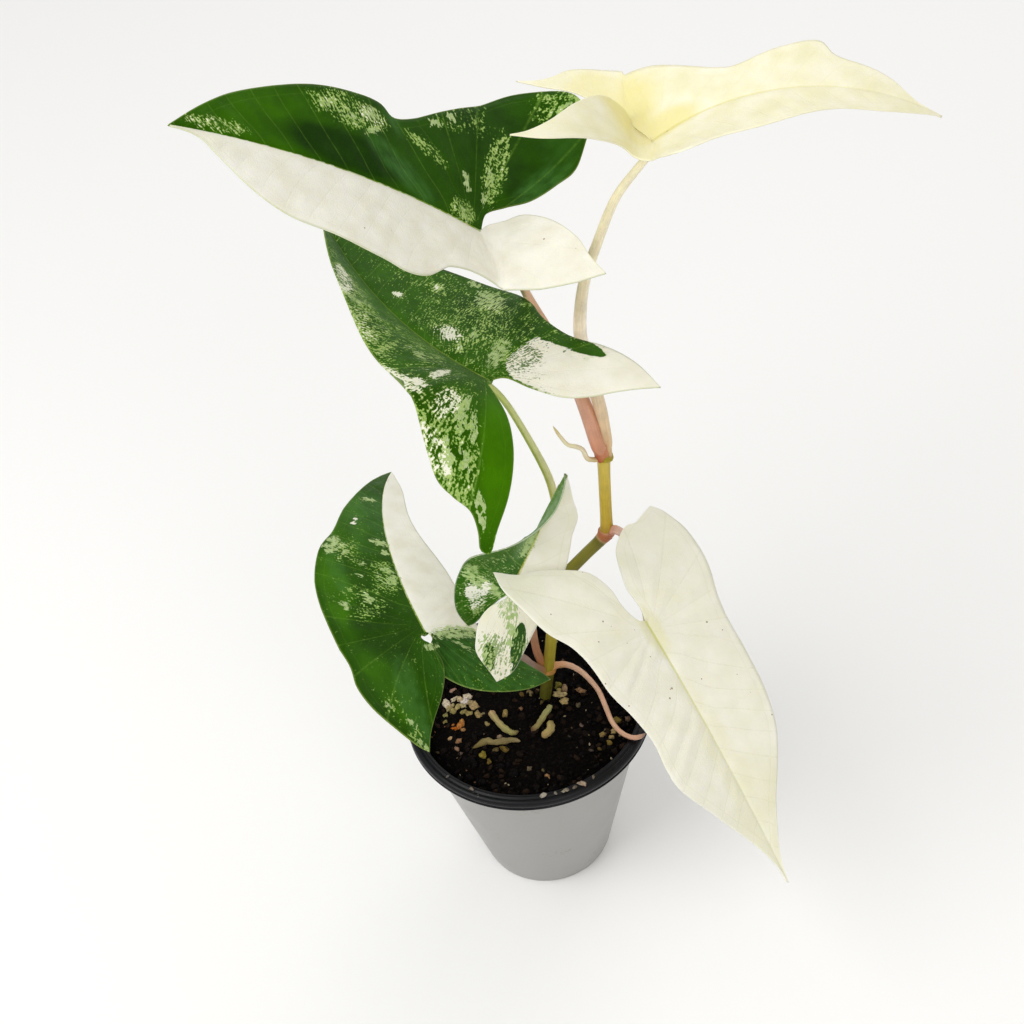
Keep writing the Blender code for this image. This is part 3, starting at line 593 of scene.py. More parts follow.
stem = dict(
    path=[(5, 6.8, 56, 2.1), (6.5, 7.3, 72, 2.1), (8.6, 9.6, 82, 2.3), (9.2, 10, 85, 2.6),
        (9.7, 10.2, 88.5, 2.1), (13.6, 11.2, 112, 2.05), (16, 11.9, 125.5, 2.1), (17, 12.1, 128.6, 2.8),
        (19.2, 12.3, 131.2, 2.2), (27.5, 13.2, 139.6, 2.1), (32.8, 13.8, 144.6, 2.2),
        (35.7, 14.2, 148.4, 2.75), (36.1, 14.6, 152.4, 2.15), (36.8, 16.2, 166, 2.05),
        (37.5, 17.6, 178.4, 2.2), (37.8, 18, 180.8, 2.9), (38, 18.2, 184.6, 2.2)],
    steps=12, sides=36,
    nodes=[3, 7, 11, 15],               # which points of the path are nodes
    # share of the length: colour, from the mix up to the top node
    stops=[(0, "#3c3412"), (0.09, "#5c5a18"), (0.15, "#6e6a1c"), (0.178, "#c9924c"),
        (0.205, "#c98d45"), (0.225, "#a3942f"), (0.3, "#b3a63a"), (0.4, "#a39a33"), (0.445, "#9a8a34"),
        (0.47, "#a8824a"), (0.5, "#726f14"), (0.6, "#77720f"), (0.636, "#655f0c"), (0.645, "#a88a5c"),
        (0.655, "#a8663c"), (0.68, "#b06a40"), (0.7, "#c08060"), (0.712, "#c99478"), (0.722, "#a8861e"),
        (0.78, "#bfa42e"), (0.88, "#cdb54e"), (0.93, "#c2ab3c"), (0.95, "#a89a1c"), (0.968, "#9a8c14"),
        (0.98, "#c49a6a"), (1, "#c08a62")],
)
# aside: the colours of the side that looks towards +X
petioles = {
    "petiole_top": dict(path=[(38, 18.2, 181.4, 2.7), (38.3, 18.4, 184.6, 2.45),
        (38.9, 18.7, 188.4, 2.2), (38.4, 21, 200, 2.15), (35.8, 19.2, 219.6, 2.4),
        (34.3, 18.6, 234.4, 2.2), (34.9, 16.2, 247.4, 2), (37, 12.4, 262.8, 1.8), (41.2, 8, 279, 1.6),
        (47.1, 0.7, 300.4, 1.4), (54, -7.4, 317, 1.2)], leaf="leaf_top", room=1, sheath=0.34,
        slot="stalk_cream", stops=[(0, "#b9703c"), (0.04, "#c07a48"), (0.08, "#c98a58"),
        (0.13, "#d0a070"), (0.22, "#e0bf9c"), (0.34, "#ecd8bc"), (0.45, "#eedcbc"), (0.6, "#ece0bc"),
        (0.75, "#efe6c0"), (0.86, "#ecdfb0"), (0.9, "#b98a50"), (0.93, "#e6d8a6"), (1, "#e6e0a8")],
        aside=[(0, "#bf8a4c"), (0.05, "#cfae78"), (0.2, "#e0c8a2"), (0.4, "#f0e4cc"), (0.6, "#f2e8c8"),
        (1, "#efe9c0")]),
    "petiole_upper_left": dict(path=[(37.4, 17.8, 181.4, 2.7), (36.8, 17.2, 185, 2.5),
        (35.7, 16.8, 189, 2.35), (33.9, 22.5, 198.6, 2.5), (31.4, 30, 206, 2.2), (28.4, 36.2, 214.2, 1.8),
        (20.8, 38.6, 235, 1.5), (17.6, 33.6, 249.4, 1.3), (13, 24.6, 268, 1.1)], leaf="leaf_upper_left",
        room=0.9, sheath=0.4, slot="stalk_cream", stops=[(0, "#b0562f"), (0.05, "#b85c38"),
        (0.1, "#c47252"), (0.16, "#d08c70"), (0.24, "#daa48c"), (0.4, "#dcb094"), (0.6, "#c9bb84"),
        (1, "#bdb873")], aside=[(0, "#b9703c"), (0.08, "#c4805a"), (0.2, "#cf9474"), (0.4, "#d9a888"),
        (1, "#c9c08c")]),
    "petiole_marbled": dict(path=[(17.6, 16.6, 129.8, 1.5), (19.4, 17.4, 137, 1.7),
        (19.9, 16.6, 150, 1.6), (19.6, 16.3, 166, 1.5), (17.7, 15.4, 181.1, 1.4), (11.5, 11, 207.4, 1.2),
        (6.6, 1.6, 229.8, 1.1)], leaf="leaf_marbled", room=0.6, sheath=0.4, slot="stalk_green",
        stops=[(0, "#b5ac6a"), (0.2, "#b9b45c"), (0.36, "#a8ac44"), (0.5, "#90a02c"), (0.8, "#7f9a20"),
        (1, "#8fa82c")], aside=[(0, "#cfc48a"), (0.3, "#dcd6a6"), (0.5, "#ccd090"), (0.7, "#b4c060"),
        (1, "#9cae3c")]),
    "petiole_lower_left": dict(path=[(8.2, 9.6, 84.6, 1.7), (5.2, 7.8, 89.6, 1.4),
        (3, 5.8, 94.6, 1.3), (-0.4, 3.2, 102.7, 1.3), (-13, -1.8, 117, 1.3), (-26, -2.2, 129.4, 1.1)],
        leaf="leaf_lower_left", room=1.3, sheath=0.45, slot="stalk_brown", stops=[(0, "#b07a38"),
        (0.12, "#a07c64"), (0.3, "#a68c80"), (0.5, "#a4907c"), (0.7, "#7f8050"), (0.85, "#5a7434"),
        (1, "#446a24")]),
    "petiole_small": dict(path=[(8.4, 10.8, 85, 1.9), (7, 10.4, 89.6, 1.6), (5.9, 9.6, 96.6, 1.45),
        (5.6, 8.2, 106, 1.4), (5.6, 4, 116.8, 1.3), (4.2, -1.4, 134.6, 1.2), (1.7, -6, 147, 1)],
        leaf="leaf_small", room=1, sheath=0.5, slot="stalk_pink", stops=[(0, "#c98a48"), (0.1, "#bd8050"),
        (0.2, "#bb8464"), (0.45, "#b98c70"), (0.7, "#c9b48c"), (1, "#c9c08c")]),
    "petiole_front": dict(path=[(36.6, 13.8, 149, 1.9), (39, 11.8, 151.2, 1.6), (41.4, 7.4, 152, 1.5),
        (42.2, 0.8, 151, 1.45), (43.1, -12.1, 147.9, 1.4), (43.6, -22, 146.4, 1.2)], leaf="leaf_front",
        room=1, sheath=0.35, slot="stalk_pink", stops=[(0, "#a8623c"), (0.1, "#cf9a86"), (0.2, "#e2bcae"),
        (0.3, "#e6c4b6"), (0.6, "#dccba4"), (1, "#d6d29a")]),
}
stalkGrid = {"steps": 10, "sides": 28, "facing": (0.0, -0.6, 0.8)}
aerialRoots = {
    "aerial_root_long": dict(path=[(9.6, 9.8, 85.6, 1.7), (12.6, 10.2, 86.2, 1.3),
        (15.6, 9.8, 86.2, 1.15), (19, 8, 85.6, 1.05), (22.6, 4.6, 83.8, 1), (26.2, -1, 80.7, 0.95),
        (28.8, -12, 77.6, 0.9), (31.2, -19.6, 80, 0.9), (34.3, -23.6, 81.4, 0.9),
        (37.1, -24.2, 81.4, 0.85), (39.7, -22.9, 81.1, 0.7)], slot="root_pink", stops=[(0, "#d49a58"),
        (0.08, "#dba070"), (0.3, "#dcb296"), (0.6, "#d8ab8c"), (0.85, "#c99c80"), (1, "#9a7c68")]),
    "aerial_root_short": dict(path=[(36.4, 17.4, 181.4, 1.1), (34.4, 16.4, 181.9, 0.9),
        (32, 15.6, 183.8, 0.85), (30.9, 15.8, 187.6, 0.8), (29, 16.2, 189.2, 0.8),
        (26.2, 17.2, 189.8, 0.7), (24.2, 19.4, 191.6, 0.6), (22.2, 21.6, 195, 0.45)], slot="root_pale",
        stops=[(0, "#bda240"), (0.15, "#d6c08a"), (0.4, "#eadfbe"), (0.8, "#efe4bc"), (1, "#d9c68a")]),
}
rootGrid = {"steps": 10, "sides": 18, "stubSteps": 8, "stubSides": 14}


def makeStem():
    path = smoothPath(stem["path"], stem["steps"])
    rows = len(path) - 1
    rings = [number * stem["steps"] / rows for number in stem["nodes"]]

    def reach(share, turn, radius):
        # scar rings at each node and shallow ribs between them
        near = min(abs(share - ring) for ring in rings) * rows / stem["steps"]
        scar = 0.10 * math.cos(near * 26) * math.exp(-(near / 0.45) ** 2)
        ribs = 0.03 * math.sin(turn * 7 + 5 * share)
        return radius * (1.0 + scar + ribs * min(near, 1.0))

    shape = bmesh.new()
    addTube(shape, path, stem["sides"], reach)
    paintTube(shape, shape.verts, stem["stops"])
    bmesh.ops.recalc_face_normals(shape, faces=shape.faces)
    finishPiece("stemMain", shape, [stalkMaterial("green stem skin", 0.42, 0.10)], "stem")


def makeStalks():
    skin = stalkMaterial("smooth leaf stalk skin", 0.38, 0.10)
    for name, stalk in petioles.items():
        leaf = leaves[stalk["leaf"]]
        bend, turn = bladeBend(leaf)
        # the stalk meets the blade square to its two halves together
        tilt = math.radians((leaf["left"]["fold"] - leaf["right"]["fold"]) / 2)
        square = turn.col[2] * math.cos(tilt) - turn.col[1] * math.sin(tilt)
        drop = bladeThickness / 2 + 0.3 + stalk["room"]
        # along the midrib, how far under the blade, and radius
        ends = [(*(bend("left", a, 0.0) - square * under), radius)
                for a, under, radius in ((0.0, drop, 1.1), (3.0, 1.1, 0.8), (6.0, 1.0, 0.3))]
        sheath = stalk["sheath"]

        def reach(share, angle, radius):
            # the lower part is a sheath: a groove on its upper side between two thin wings
            part = max(0.0, 1.0 - share / sheath)
            spread = min(part * 2.2, 1.0) * (1.0 - 0.35 * part)
            off = abs((angle + math.pi) % math.tau - math.pi)
            groove = -0.18 * math.exp(-(off / 0.42) ** 2)
            wings = 0.08 * math.exp(-((off - 0.85) / 0.25) ** 2)
            flat = -0.10 * math.exp(-(off / 0.5) ** 2) * (1.0 - part)
            return radius * (1.0 + spread * (groove + wings) + flat)

        shape = bmesh.new()
        addTube(shape, smoothPath([*stalk["path"], *ends], stalkGrid["steps"]), stalkGrid["sides"],
                reach, Vector(stalkGrid["facing"]).normalized())
        bmesh.ops.recalc_face_normals(shape, faces=shape.faces)
        shape.normal_update()
        paintTube(shape, shape.verts, stalk["stops"], stalk.get("aside"))
        finishPiece(camelName("stalk", name), shape, [skin], name)


def stubReach(share, angle, radius):
    # lumpy bark and rounded ends
    ends = min(1.0, math.sqrt(max(min(share, 1.0 - share) * 9, 0.03)))
    lumps = noise.noise(Vector((math.cos(angle), math.sin(angle), share * 9)) * 1.7)
    return radius * ends * (1.0 + 0.35 * lumps)


def makeRoots():
    skin = stalkMaterial("aerial root skin", 0.5, 0.2)
    for name, root in aerialRoots.items():
        shape = bmesh.new()
        path = smoothPath(root["path"], rootGrid["steps"])

        def reach(share, angle, radius):
            # knobbly skin and a rounded tip
            spot = Vector((math.cos(angle), math.sin(angle), share * (len(path) - 1) * 0.35))
            knobs = 1.0 + 0.10 * noise.noise(spot * 1.3) + 0.05 * noise.noise(spot * 3.1)
            return radius * knobs * min(1.0, math.sqrt(max((1.0 - share) * 14, 0.04)))

        addTube(shape, path, rootGrid["sides"], reach)
        paintTube(shape, shape.verts, root["stops"])
        bmesh.ops.recalc_face_normals(shape, faces=shape.faces)
        finishPiece("rootAerial" + name.split("_")[-1].capitalize(), shape, [skin], name)
    old = bmesh.new()
    for line, stops in rootStubs.values():
        path = smoothPath(line, rootGrid["stubSteps"])
        paintTube(old, addTube(old, path, rootGrid["stubSides"], stubReach), stops)
    bmesh.ops.recalc_face_normals(old, faces=old.faces)
    finishPiece("rootStubs", old, [stalkMaterial("dry root bark", 0.75, 0.3)])


# Blades

bladeThickness = 0.8                    # mm, of the solid that each blade stands for
bladeGrid = {
    "ahead": 11,                        # rows of the solid from the tip to the notch
    "behind": 7,                        # and from the notch to the lobe's end
    "finer": 9,                         # rows here for each of them
    "columns": 26,
    "spineSteps": 16,
    "liftSteps": 4,
    "notch": -3.0,                      # mm along the midrib, where the two lobes part
    "blendTimes": 20,                   # smoothing of the outline past its widest point
    "blendRows": 8,
}
bladeSkin = {
    "margin": 0.45,                     # mm thick at the edge
    "midrib": 1.7,                      # mm deep at the midrib, near the stalk
    "veinSlope": 0.85,                  # how far a side vein runs forward for each mm out
    "veinCurve": 0.006,                 # how fast it turns outwards, per mm
    "veinWander": 3.2,                  # mm that it strays
    "veinSpacing": 9.0,                 # mm along the midrib
    "veinWidth": 0.8,                   # mm
    "lobeVeinAngle": 21.0,              # degrees between the veins of a lobe
    "collector": 3.2,                   # mm from the edge to the vein that joins the side veins
}
# outer runs from the tip to the lobe and sinus from the notch to the lobe, in mm along the midrib
# and out from it. A patch of paint: along, across, half length, half width, turn and value.
# The sheen patches are painted light: a lighter grey-green drawn into the colour where the waxy skin
# reflects the light.
leaves = {
    "leaf_top": dict(
        attach=(60, -11.8, 329.8), heading=(0.83, 0.02, 0.55), facing=(-0.54, 0.24, 0.81), length=80,
        lobeLength=34, halfWidth=28, droop=65, twist=-2, sweep=-2, wave=0.8, quilt=0.25,
        paint=dict(left=(1, 0, 0.05, 0), right=(1, 0, 0.1, 0), tone=[(-10, 14, 14, 12, 40, 0.9),
        (0, 2, 12, 5, 0, 0.8), (-20, 22, 8, 8, 0, 0.55), (-8, -8, 10, 5, 30, 0.4)]),
        left=dict(outer=[(72, 1), (65, 6), (59, 9), (50, 12), (46, 17), (37, 15), (26, 12.5), (20, 14),
        (11, 20), (4, 24.8), (-8, 28.8), (-20, 31), (-27, 30.5), (-31, 28), (-36, 26.3)], lobe=(-42, 26),
        sinus=[(-5, 4.8), (-10, 11), (-16, 16), (-20, 18.5), (-26, 22), (-34, 23.8)], fold=24, tipFold=22,
        curl=-1, lobeLift=36, lobeDrop=-6, lobeTwist=3),
        right=dict(outer=[(72, 4), (62, 8), (52, 11), (45, 14), (37, 17), (29, 19), (18, 21), (9, 25),
        (4, 22), (-3, 12), (-12, 9), (-22, 16), (-34, 24)], lobe=(-44, 26), sinus=[(-5, -4.8), (-9, -9),
        (-14, -10), (-22, -6.5), (-29, 3), (-35, 15), (-40, 22.5)], fold=-2, tipFold=-17, curl=17,
        lobeLift=102, lobeDrop=42, lobeTwist=19),
    ),
    "leaf_upper_left": dict(
        attach=(5.7, 13.9, 288.1), heading=(-0.67, -0.1, 0.73), facing=(0.73, -0.23, 0.64), length=101,
        lobeLength=42, halfWidth=35, droop=13, twist=-3, sweep=11, wave=0.8, quilt=0.35,
        paint=dict(left=(1, 0, 0.3, 0), right=(0, 0, 0.3, 0), flecks=[(-30, -51, 10, 7, 0, 0.5),
        (2, -42, 9, 7, 0, 0.34), (-8, -25, 15, 4, 78, 0.58), (18, -20, 8, 2.2, 156, 0.55),
        (45, -21, 13, 6, 0, 0.5), (87, -3, 10, 2.5, 0, 0.4), (4, -4, 5, 4, 0, 0.5),
        (12, -34, 8, 4, 0, 0.25)], sage=[(15, -31, 2.6, 1.6, 0, 1), (9, -36, 1.8, 1.6, 0, 1),
        (52, -20, 3, 1.4, 10, 1), (45, -19, 3.6, 1.6, 0, 0.9), (37, -23, 3.4, 2.4, 0, 1),
        (37, -17, 3, 1.4, 20, 0.9), (-6, -21, 4, 1.8, 78, 1), (3, -15, 4, 1.2, 104, 1),
        (-4, -13, 3, 1.3, 78, 0.9), (4, -3, 3, 1.3, 120, 0.9), (-29, -48, 2.8, 2, 0, 1),
        (-32, -50, 2.2, 2, 0, 1)], white=[(9, -36, 3, 3, 0, 1), (37, -23, 5, 4, 0, 0.7),
        (88, -3, 10, 3, 0, 0.6)], bloom=[(-24, -23, 13, 4, 43, 0.7), (-29, -35, 7, 7, 0, 0.25),
        (27, -8, 13, 4, 148, 0.8), (30, -26, 7, 2, 120, 0.6)], tone=[(78, -10, 26, 14, 0, 0.58),
        (45, -7, 22, 6, 0, 0), (-12, -36, 20, 14, 0, 0.2), (-20, -20, 8, 10, 40, 0.1)],
        brown=[(-25, 8, 4, 3, 0, 0.6), (-34, 18, 6, 5, 0, 0.7), (40, 20, 10, 8, 0, 0.1)]),
        left=dict(outer=[(93, 3), (88, 10), (80, 19), (69, 26), (55, 29), (46, 31), (38, 32), (30, 33),
        (22, 31), (13, 24), (5, 23), (-5, 24), (-14, 26), (-24, 29), (-33, 29), (-38, 28)],
        lobe=(-42, 27), sinus=[(-6, -4), (-10, -6), (-16, -6), (-26, 1), (-34, 11), (-38, 20)], fold=18,
        tipFold=18, curl=-14, lobeLift=80, lobeDrop=26, lobeTwist=6),
        right=dict(outer=[(90, 9), (79, 16), (60, 24), (44, 28), (34, 29), (29, 26), (22, 29), (14, 35),
        (1, 45), (-14, 56), (-28, 57), (-36, 51)], lobe=(-38, 38), sinus=[(-5, 7), (-12, 12), (-20, 16),
        (-28, 22), (-34, 27)], fold=3, tipFold=3, curl=-3, lobeDrop=-72, lobeTwist=-9),
    ),
    "leaf_marbled": dict(
        attach=(1.9, -6.7, 247.1), heading=(-0.67, 0.74, -0.05), facing=(0.25, 0.29, 0.92), length=104,
        lobeLength=44, halfWidth=36, droop=-22, twist=20, sweep=-22, wave=0.8, quilt=0.3,
        paint=dict(left=(0, 0.2, 0.55, 0), right=(0, 0.25, 0.5, 0), pale=[(-26, -21, 27, 17, 0, 1),
        (-8, -14, 8, 9, 25, 0.9), (-8, -30, 14, 3.5, 5, 0), (-14, -26, 7, 2.5, 0, 0.6),
        (6, 33, 5, 2, 0, 0.75)], flecks=[(25, -18, 20, 12, 0, 0.42), (45, -22, 12, 9, 0, 0.3),
        (40, 19, 26, 7, 165, 0.52), (20, 11, 14, 8, 0, 0.38), (66, -4, 20, 9, 0, 0.1),
        (48, 1, 26, 3.5, 0, 0.08), (-22, 34, 17, 9, 140, 0.5), (-27, 20, 22, 6.5, 140, 0),
        (57, 14, 11, 2.4, 155, 0.7), (33, 24, 8, 3, 165, 0.7), (5, 32, 9, 3, 0, 0.88),
        (-8, 38, 5, 2.4, 0, 0.75), (25, -8.5, 4.5, 2.2, -35, 0.8), (17, -6, 4, 1.2, -35, 0.85),
        (2, 18, 5.5, 1.5, 100, 0.85), (1, 28, 3, 1.8, 0, 0.85), (-9, 26.5, 7, 3, 112, 0.62),
        (51, -21, 4, 1.5, -50, 0.85), (53, -7, 1.4, 1.2, 0, 1), (-17, 38, 5, 3.6, 0, 0.5),
        (-24, 41, 8, 2, 0, 0.6), (-30, -22, 24, 16, 0, 0), (-3, -14, 6, 7, 0, 0.55),
        (26, -27, 5, 4, 0, 0.6)], sage=[(34, -31.5, 9, 4.4, -21, 0.95), (27, -28, 3, 2, 0, 0.1),
        (5, -12, 8, 3, -58, 1), (48, -34, 3.4, 2, 0, 1), (19, -14, 4, 1.3, -50, 1),
        (14, 15, 3, 2, 0, 0.9), (45, 17, 4, 2, 0, 0.9), (-12.5, 23, 6, 1.7, 117, 1),
        (-18.5, 24, 6, 1.1, 139, 1), (-16.5, 27, 4, 1.6, 127, 1), (-22, 37, 6, 2.2, 143, 1),
        (-24.5, 32, 4, 1.4, 158, 1), (-38, 34.5, 4.5, 1.5, 169, 1), (36, 26, 5, 1.6, 165, 0.8)],
        white=[(57, 14, 11, 4, 155, 1), (5, 32, 10, 4, 0, 1), (25, -8, 6, 5, 0, 1), (2, 18, 7, 4, 90, 1),
        (1, 28, 5, 4, 0, 1), (-9, 26.5, 7, 4, 105, 1), (53, -7, 3, 3, 0, 1), (-18, 39, 8, 4, 0, 0.9),
        (33, 24, 9, 5, 165, 0.5), (30, -32, 5, 5, 0, 0.6)], tone=[(-27, 20, 22, 7, 140, 0.78),
        (40, 6, 30, 9, 0, 0.7), (60, -10, 16, 12, 0, 0.55), (22, -26, 22, 10, 0, 0.25),
        (-10, 32, 16, 8, 0, 0.4)]),
        left=dict(outer=[(92, 4), (81, 8), (67, 13), (44, 21), (20, 29), (3, 33), (-5, 36), (-14, 40),
        (-24, 42.5), (-31, 40.5), (-37, 37.5), (-43, 37.5), (-48, 38.5)], lobe=(-50.5, 36.5),
        sinus=[(-6, 5), (-12, 8), (-20, 11), (-27, 15), (-33, 19.5), (-39, 25), (-45, 31.5), (-49.5, 35)],
        fold=22, tipFold=22, curl=-35, lobeDrop=56, lobeTwist=26),
        right=dict(outer=[(94, 5), (84, 13), (72, 22), (58, 31), (44, 38), (32, 41), (20, 39), (8, 34),
        (-6, 33), (-18, 35), (-31, 35)], lobe=(-43, 32), sinus=[(-6, 4), (-15, 5), (-25, 8), (-31, 14),
        (-35, 21), (-39, 27)], fold=15, tipFold=15, curl=2, lobeDrop=8, lobeTwist=0),
    ),
    "leaf_lower_left": dict(
        attach=(-31.6, -6.9, 138.1), heading=(-0.32, 0.94, 0.12), facing=(-0.26, -0.21, 0.94), length=105,
        lobeLength=44, halfWidth=37, droop=44, twist=-6, sweep=-13, wave=0.9, quilt=0.3,
        paint=dict(left=(0, 0.06, 0.35, 0), right=(1, 0, 0.1, 0), pale=[(-27, -12, 24, 32, 0, 0),
        (59, 10, 1.1, 0.9, 0, 1), (56, 11, 1.1, 1, 0, 1)], flecks=[(25, 5, 9, 5, 0, 0.42),
        (15, 16, 8, 7, 0, 0.35), (40, 15, 8, 6, 0, 0.3), (-42, 27, 7, 3, 0, 0.36),
        (-28, 27, 8, 4, 160, 0.25), (-24, -20, 20, 20, 0, 0.1)], sage=[(74, 5, 2.6, 1.8, 60, 1),
        (43, 20, 5, 2.4, 150, 1), (40, 16, 3, 1.2, 0, 1), (44, 3, 4, 1.8, 60, 1), (38, 2, 2, 1.2, 30, 1),
        (25, 4, 5, 3, 0, 1), (26, 5, 2.2, 1.4, 0, 0), (32, 11, 1.6, 1.1, 0, 1), (27, 14, 1.3, 1.2, 0, 1),
        (16, 14, 3, 1.6, 0, 1), (14, 23, 2.4, 1.3, 0, 1), (-27, 29, 1.8, 1.1, 0, 1),
        (-35, 25, 1.7, 1.2, 0, 1), (-43, 27, 3, 1.4, 0, 1), (-4.5, -13, 3.2, 11, 0, 0.95),
        (-12, -12, 6, 0.9, 45, 0.9), (-9, 1, 3, 1.3, 90, 0.9)], white=[(74, 5, 4, 4, 0, 0.5),
        (42, 18, 8, 5, 0, 0.4)], bloom=[(62, 5, 17, 8, 0, 0.65), (32, 21, 14, 3, 0, 0.6),
        (46, 8, 10, 5, 0, 0.35), (-28, 20, 18, 4.5, 160, 0.75), (-27, -20, 24, 26, 0, 0.8)],
        tone=[(60, 14, 24, 8, 0, 0.6), (20, 24, 20, 6, 0, 0.7), (-20, 24, 18, 6, 0, 0.6),
        (2, 14, 14, 10, 0, 0.2), (-26, -22, 22, 20, 0, 0.3)]),
        left=dict(outer=[(95, 4), (84, 8), (67, 14), (51, 18.5), (41, 25), (28, 30), (17, 31.5),
        (5, 31.5), (-9, 32), (-18, 35), (-27, 35), (-36, 32), (-42, 29)], lobe=(-45, 26),
        sinus=[(-4, 2.3), (-6, 2.1), (-8, 0.5), (-12, 0), (-17, 0), (-23, 3), (-29, 8), (-35, 15),
        (-40, 21)], fold=34, tipFold=41, curl=4, lobeDrop=21, lobeTwist=-20),
        right=dict(outer=[(97, 3), (84, 7), (63, 10), (50, 13), (38, 17), (27, 20), (13, 22), (5, 22),
        (-5, 24), (-15, 28), (-29, 34), (-36, 37)], lobe=(-42, 38), sinus=[(-4, 1.4), (-6, 1.2),
        (-8, -0.6), (-12, -2.4), (-17, -4), (-23, -1), (-29, 5), (-35, 15), (-40, 27)], fold=-44,
        tipFold=-35, curl=-20, lobeDrop=35, lobeTwist=-8),
    ),
    "leaf_small": dict(
        attach=(0.8, -12.8, 157.2), heading=(0.51, 0.22, 0.83), facing=(-0.49, -0.72, 0.5), length=55,
        lobeLength=23, halfWidth=19, droop=-28, twist=10, sweep=-5, wave=0.4, quilt=0.25,
        paint=dict(left=(0, 0.15, 0.5, 0), right=(1, 0, 0.1, 0), pale=[(-16, -12, 6.5, 2.4, 30, 0),
        (-24, -6, 5, 2.2, 45, 0.2), (-22, -17, 4, 1.4, 20, 0)], flecks=[(2, 10, 10, 7, 0, 0.3),
        (-8, 11, 3, 3, 0, 1), (-5, 8, 3.4, 1.6, 0, 0.95), (-12, 8, 5, 2.4, 0, 0.6),
        (-22, -7, 7, 4, 45, 0.6), (-20, -14, 8, 5, 0, 0.25)], sage=[(20, 2.4, 7, 2.8, 5, 1),
        (0, 15, 4, 2.6, 0, 1), (-3, 11, 4, 1.8, 80, 1), (-3, 6, 4, 1.6, 60, 1), (-6, -2, 6, 4, 20, 0.6),
        (-12, -6, 9, 2, 30, 0.85), (-4, -6, 5, 1.6, 60, 0.8), (-24, -3, 6, 1.6, 40, 0.7)],
        white=[(-8, 11, 6, 5, 0, 1), (-5, 8, 5, 3, 0, 1)], bloom=[(34, 4, 20, 4, 0, 0.7)],
        tone=[(36, 4, 16, 6, 0, 0.6), (-16, -12, 9, 4, 0, 0.2), (-12, 8, 9, 6, 0, 0.5)]),
        left=dict(outer=[(49, 3), (43, 6), (35, 9), (27, 12), (18, 16), (9, 18), (3, 18), (-5, 18),
        (-11, 17), (-18, 15)], lobe=(-27, 11), sinus=[(-6, 2), (-11, 4), (-17, 6), (-22, 8)], fold=21,
        tipFold=144, curl=1, lobeDrop=43, lobeTwist=9),
        right=dict(outer=[(49, 3), (42, 6), (33, 11), (24, 12), (12, 15), (4, 16), (-4, 15), (-10, 15),
        (-17, 16), (-23, 17)], lobe=(-28, 14), sinus=[(-5, -0.5), (-10, -3.6), (-16, -4.2), (-22, -1.6),
        (-26, 2.5)], fold=-32, tipFold=-37, curl=-27, lobeDrop=-38, lobeTwist=-4),
    ),
    "leaf_front": dict(
        attach=(44, -30.8, 146.9), heading=(0.38, -0.72, -0.58), facing=(0.41, -0.44, 0.8), length=95,
        lobeLength=40, halfWidth=33, droop=8, twist=2, sweep=-1, wave=0.7, quilt=0.55,
        paint=dict(left=(1, 0, 0.1, 0.07), right=(1, 0, 0.1, 0.07), tone=[(0, 0, 10, 4, 0, 0.8),
        (-8, 8, 10, 3, 60, 0.3), (-8, -8, 10, 3, -60, 0.3), (60, 0, 40, 6, 0, 0.4),
        (78, 6, 26, 14, 0, 0.45)], brown=[(13, 2, 16, 8, 0, 0.5), (-14, -14, 14, 10, 0, 0.22),
        (22, 18, 12, 8, 0, 0.15), (-26, 24, 12, 10, 0, 0.1)]),
        left=dict(outer=[(85, 2), (71, 9), (61, 16), (51, 22), (42, 25), (32, 27), (20, 28), (8, 28),
        (0, 29), (-12, 34), (-23, 36), (-31, 35.5), (-36, 35)], lobe=(-39.5, 33.5), sinus=[(-8, 1),
        (-15, 1), (-21, 3), (-29, 7.5), (-34, 14), (-36, 19), (-35.5, 22.5), (-37.5, 28)], fold=3,
        tipFold=3, curl=-7, lobeDrop=35, lobeTwist=6),
        right=dict(outer=[(86, 2), (77, 6), (62, 15), (50, 22), (42, 23), (32, 22), (22, 24), (11, 28),
        (0, 29), (-8, 31), (-15, 35), (-23, 37), (-34, 38)], lobe=(-42, 36), sinus=[(-5, 3), (-11, 5),
        (-18, 5), (-26, 8), (-31, 15), (-35, 23), (-37, 30)], fold=11, tipFold=11, curl=-5, lobeDrop=23,
        lobeTwist=6),
    ),
}


def spineFrames(reach, droop, twist, sweep, lift=0.0):
    # places and axes along a bent line of the given reach
    steps = bladeGrid["spineSteps"]
    turn = Matrix.Identity(3)
    for angle, axis in ((droop, "Y"), (sweep, "Z"), (twist, "X")):
        turn = turn @ Matrix.Rotation(math.radians(angle) / steps, 3, axis)
    rise = Matrix.Rotation(math.radians(lift) / bladeGrid["liftSteps"], 3, "Y")
    axes = Matrix.Identity(3)
    point = Vector((0.0, 0.0, 0.0))
    frames = [(point.copy(), axes.copy())]
    for number in range(steps):
        axes = axes @ turn
        if number < bladeGrid["liftSteps"]:
            axes = axes @ rise
        point = point + axes.col[0] * (reach / steps)
        frames.append((point.copy(), axes.copy()))
    return frames


def frameAt(frames, share):
    place = max(share, 0.0) * bladeGrid["spineSteps"]
    index = min(int(place), bladeGrid["spineSteps"] - 1)
    (point, axes), (nextPoint, nextAxes) = frames[index:index + 2]
    part = place - index
    return (point.lerp(nextPoint, part), axes.col[1].lerp(nextAxes.col[1], part),
            axes.col[2].lerp(nextAxes.col[2], part))


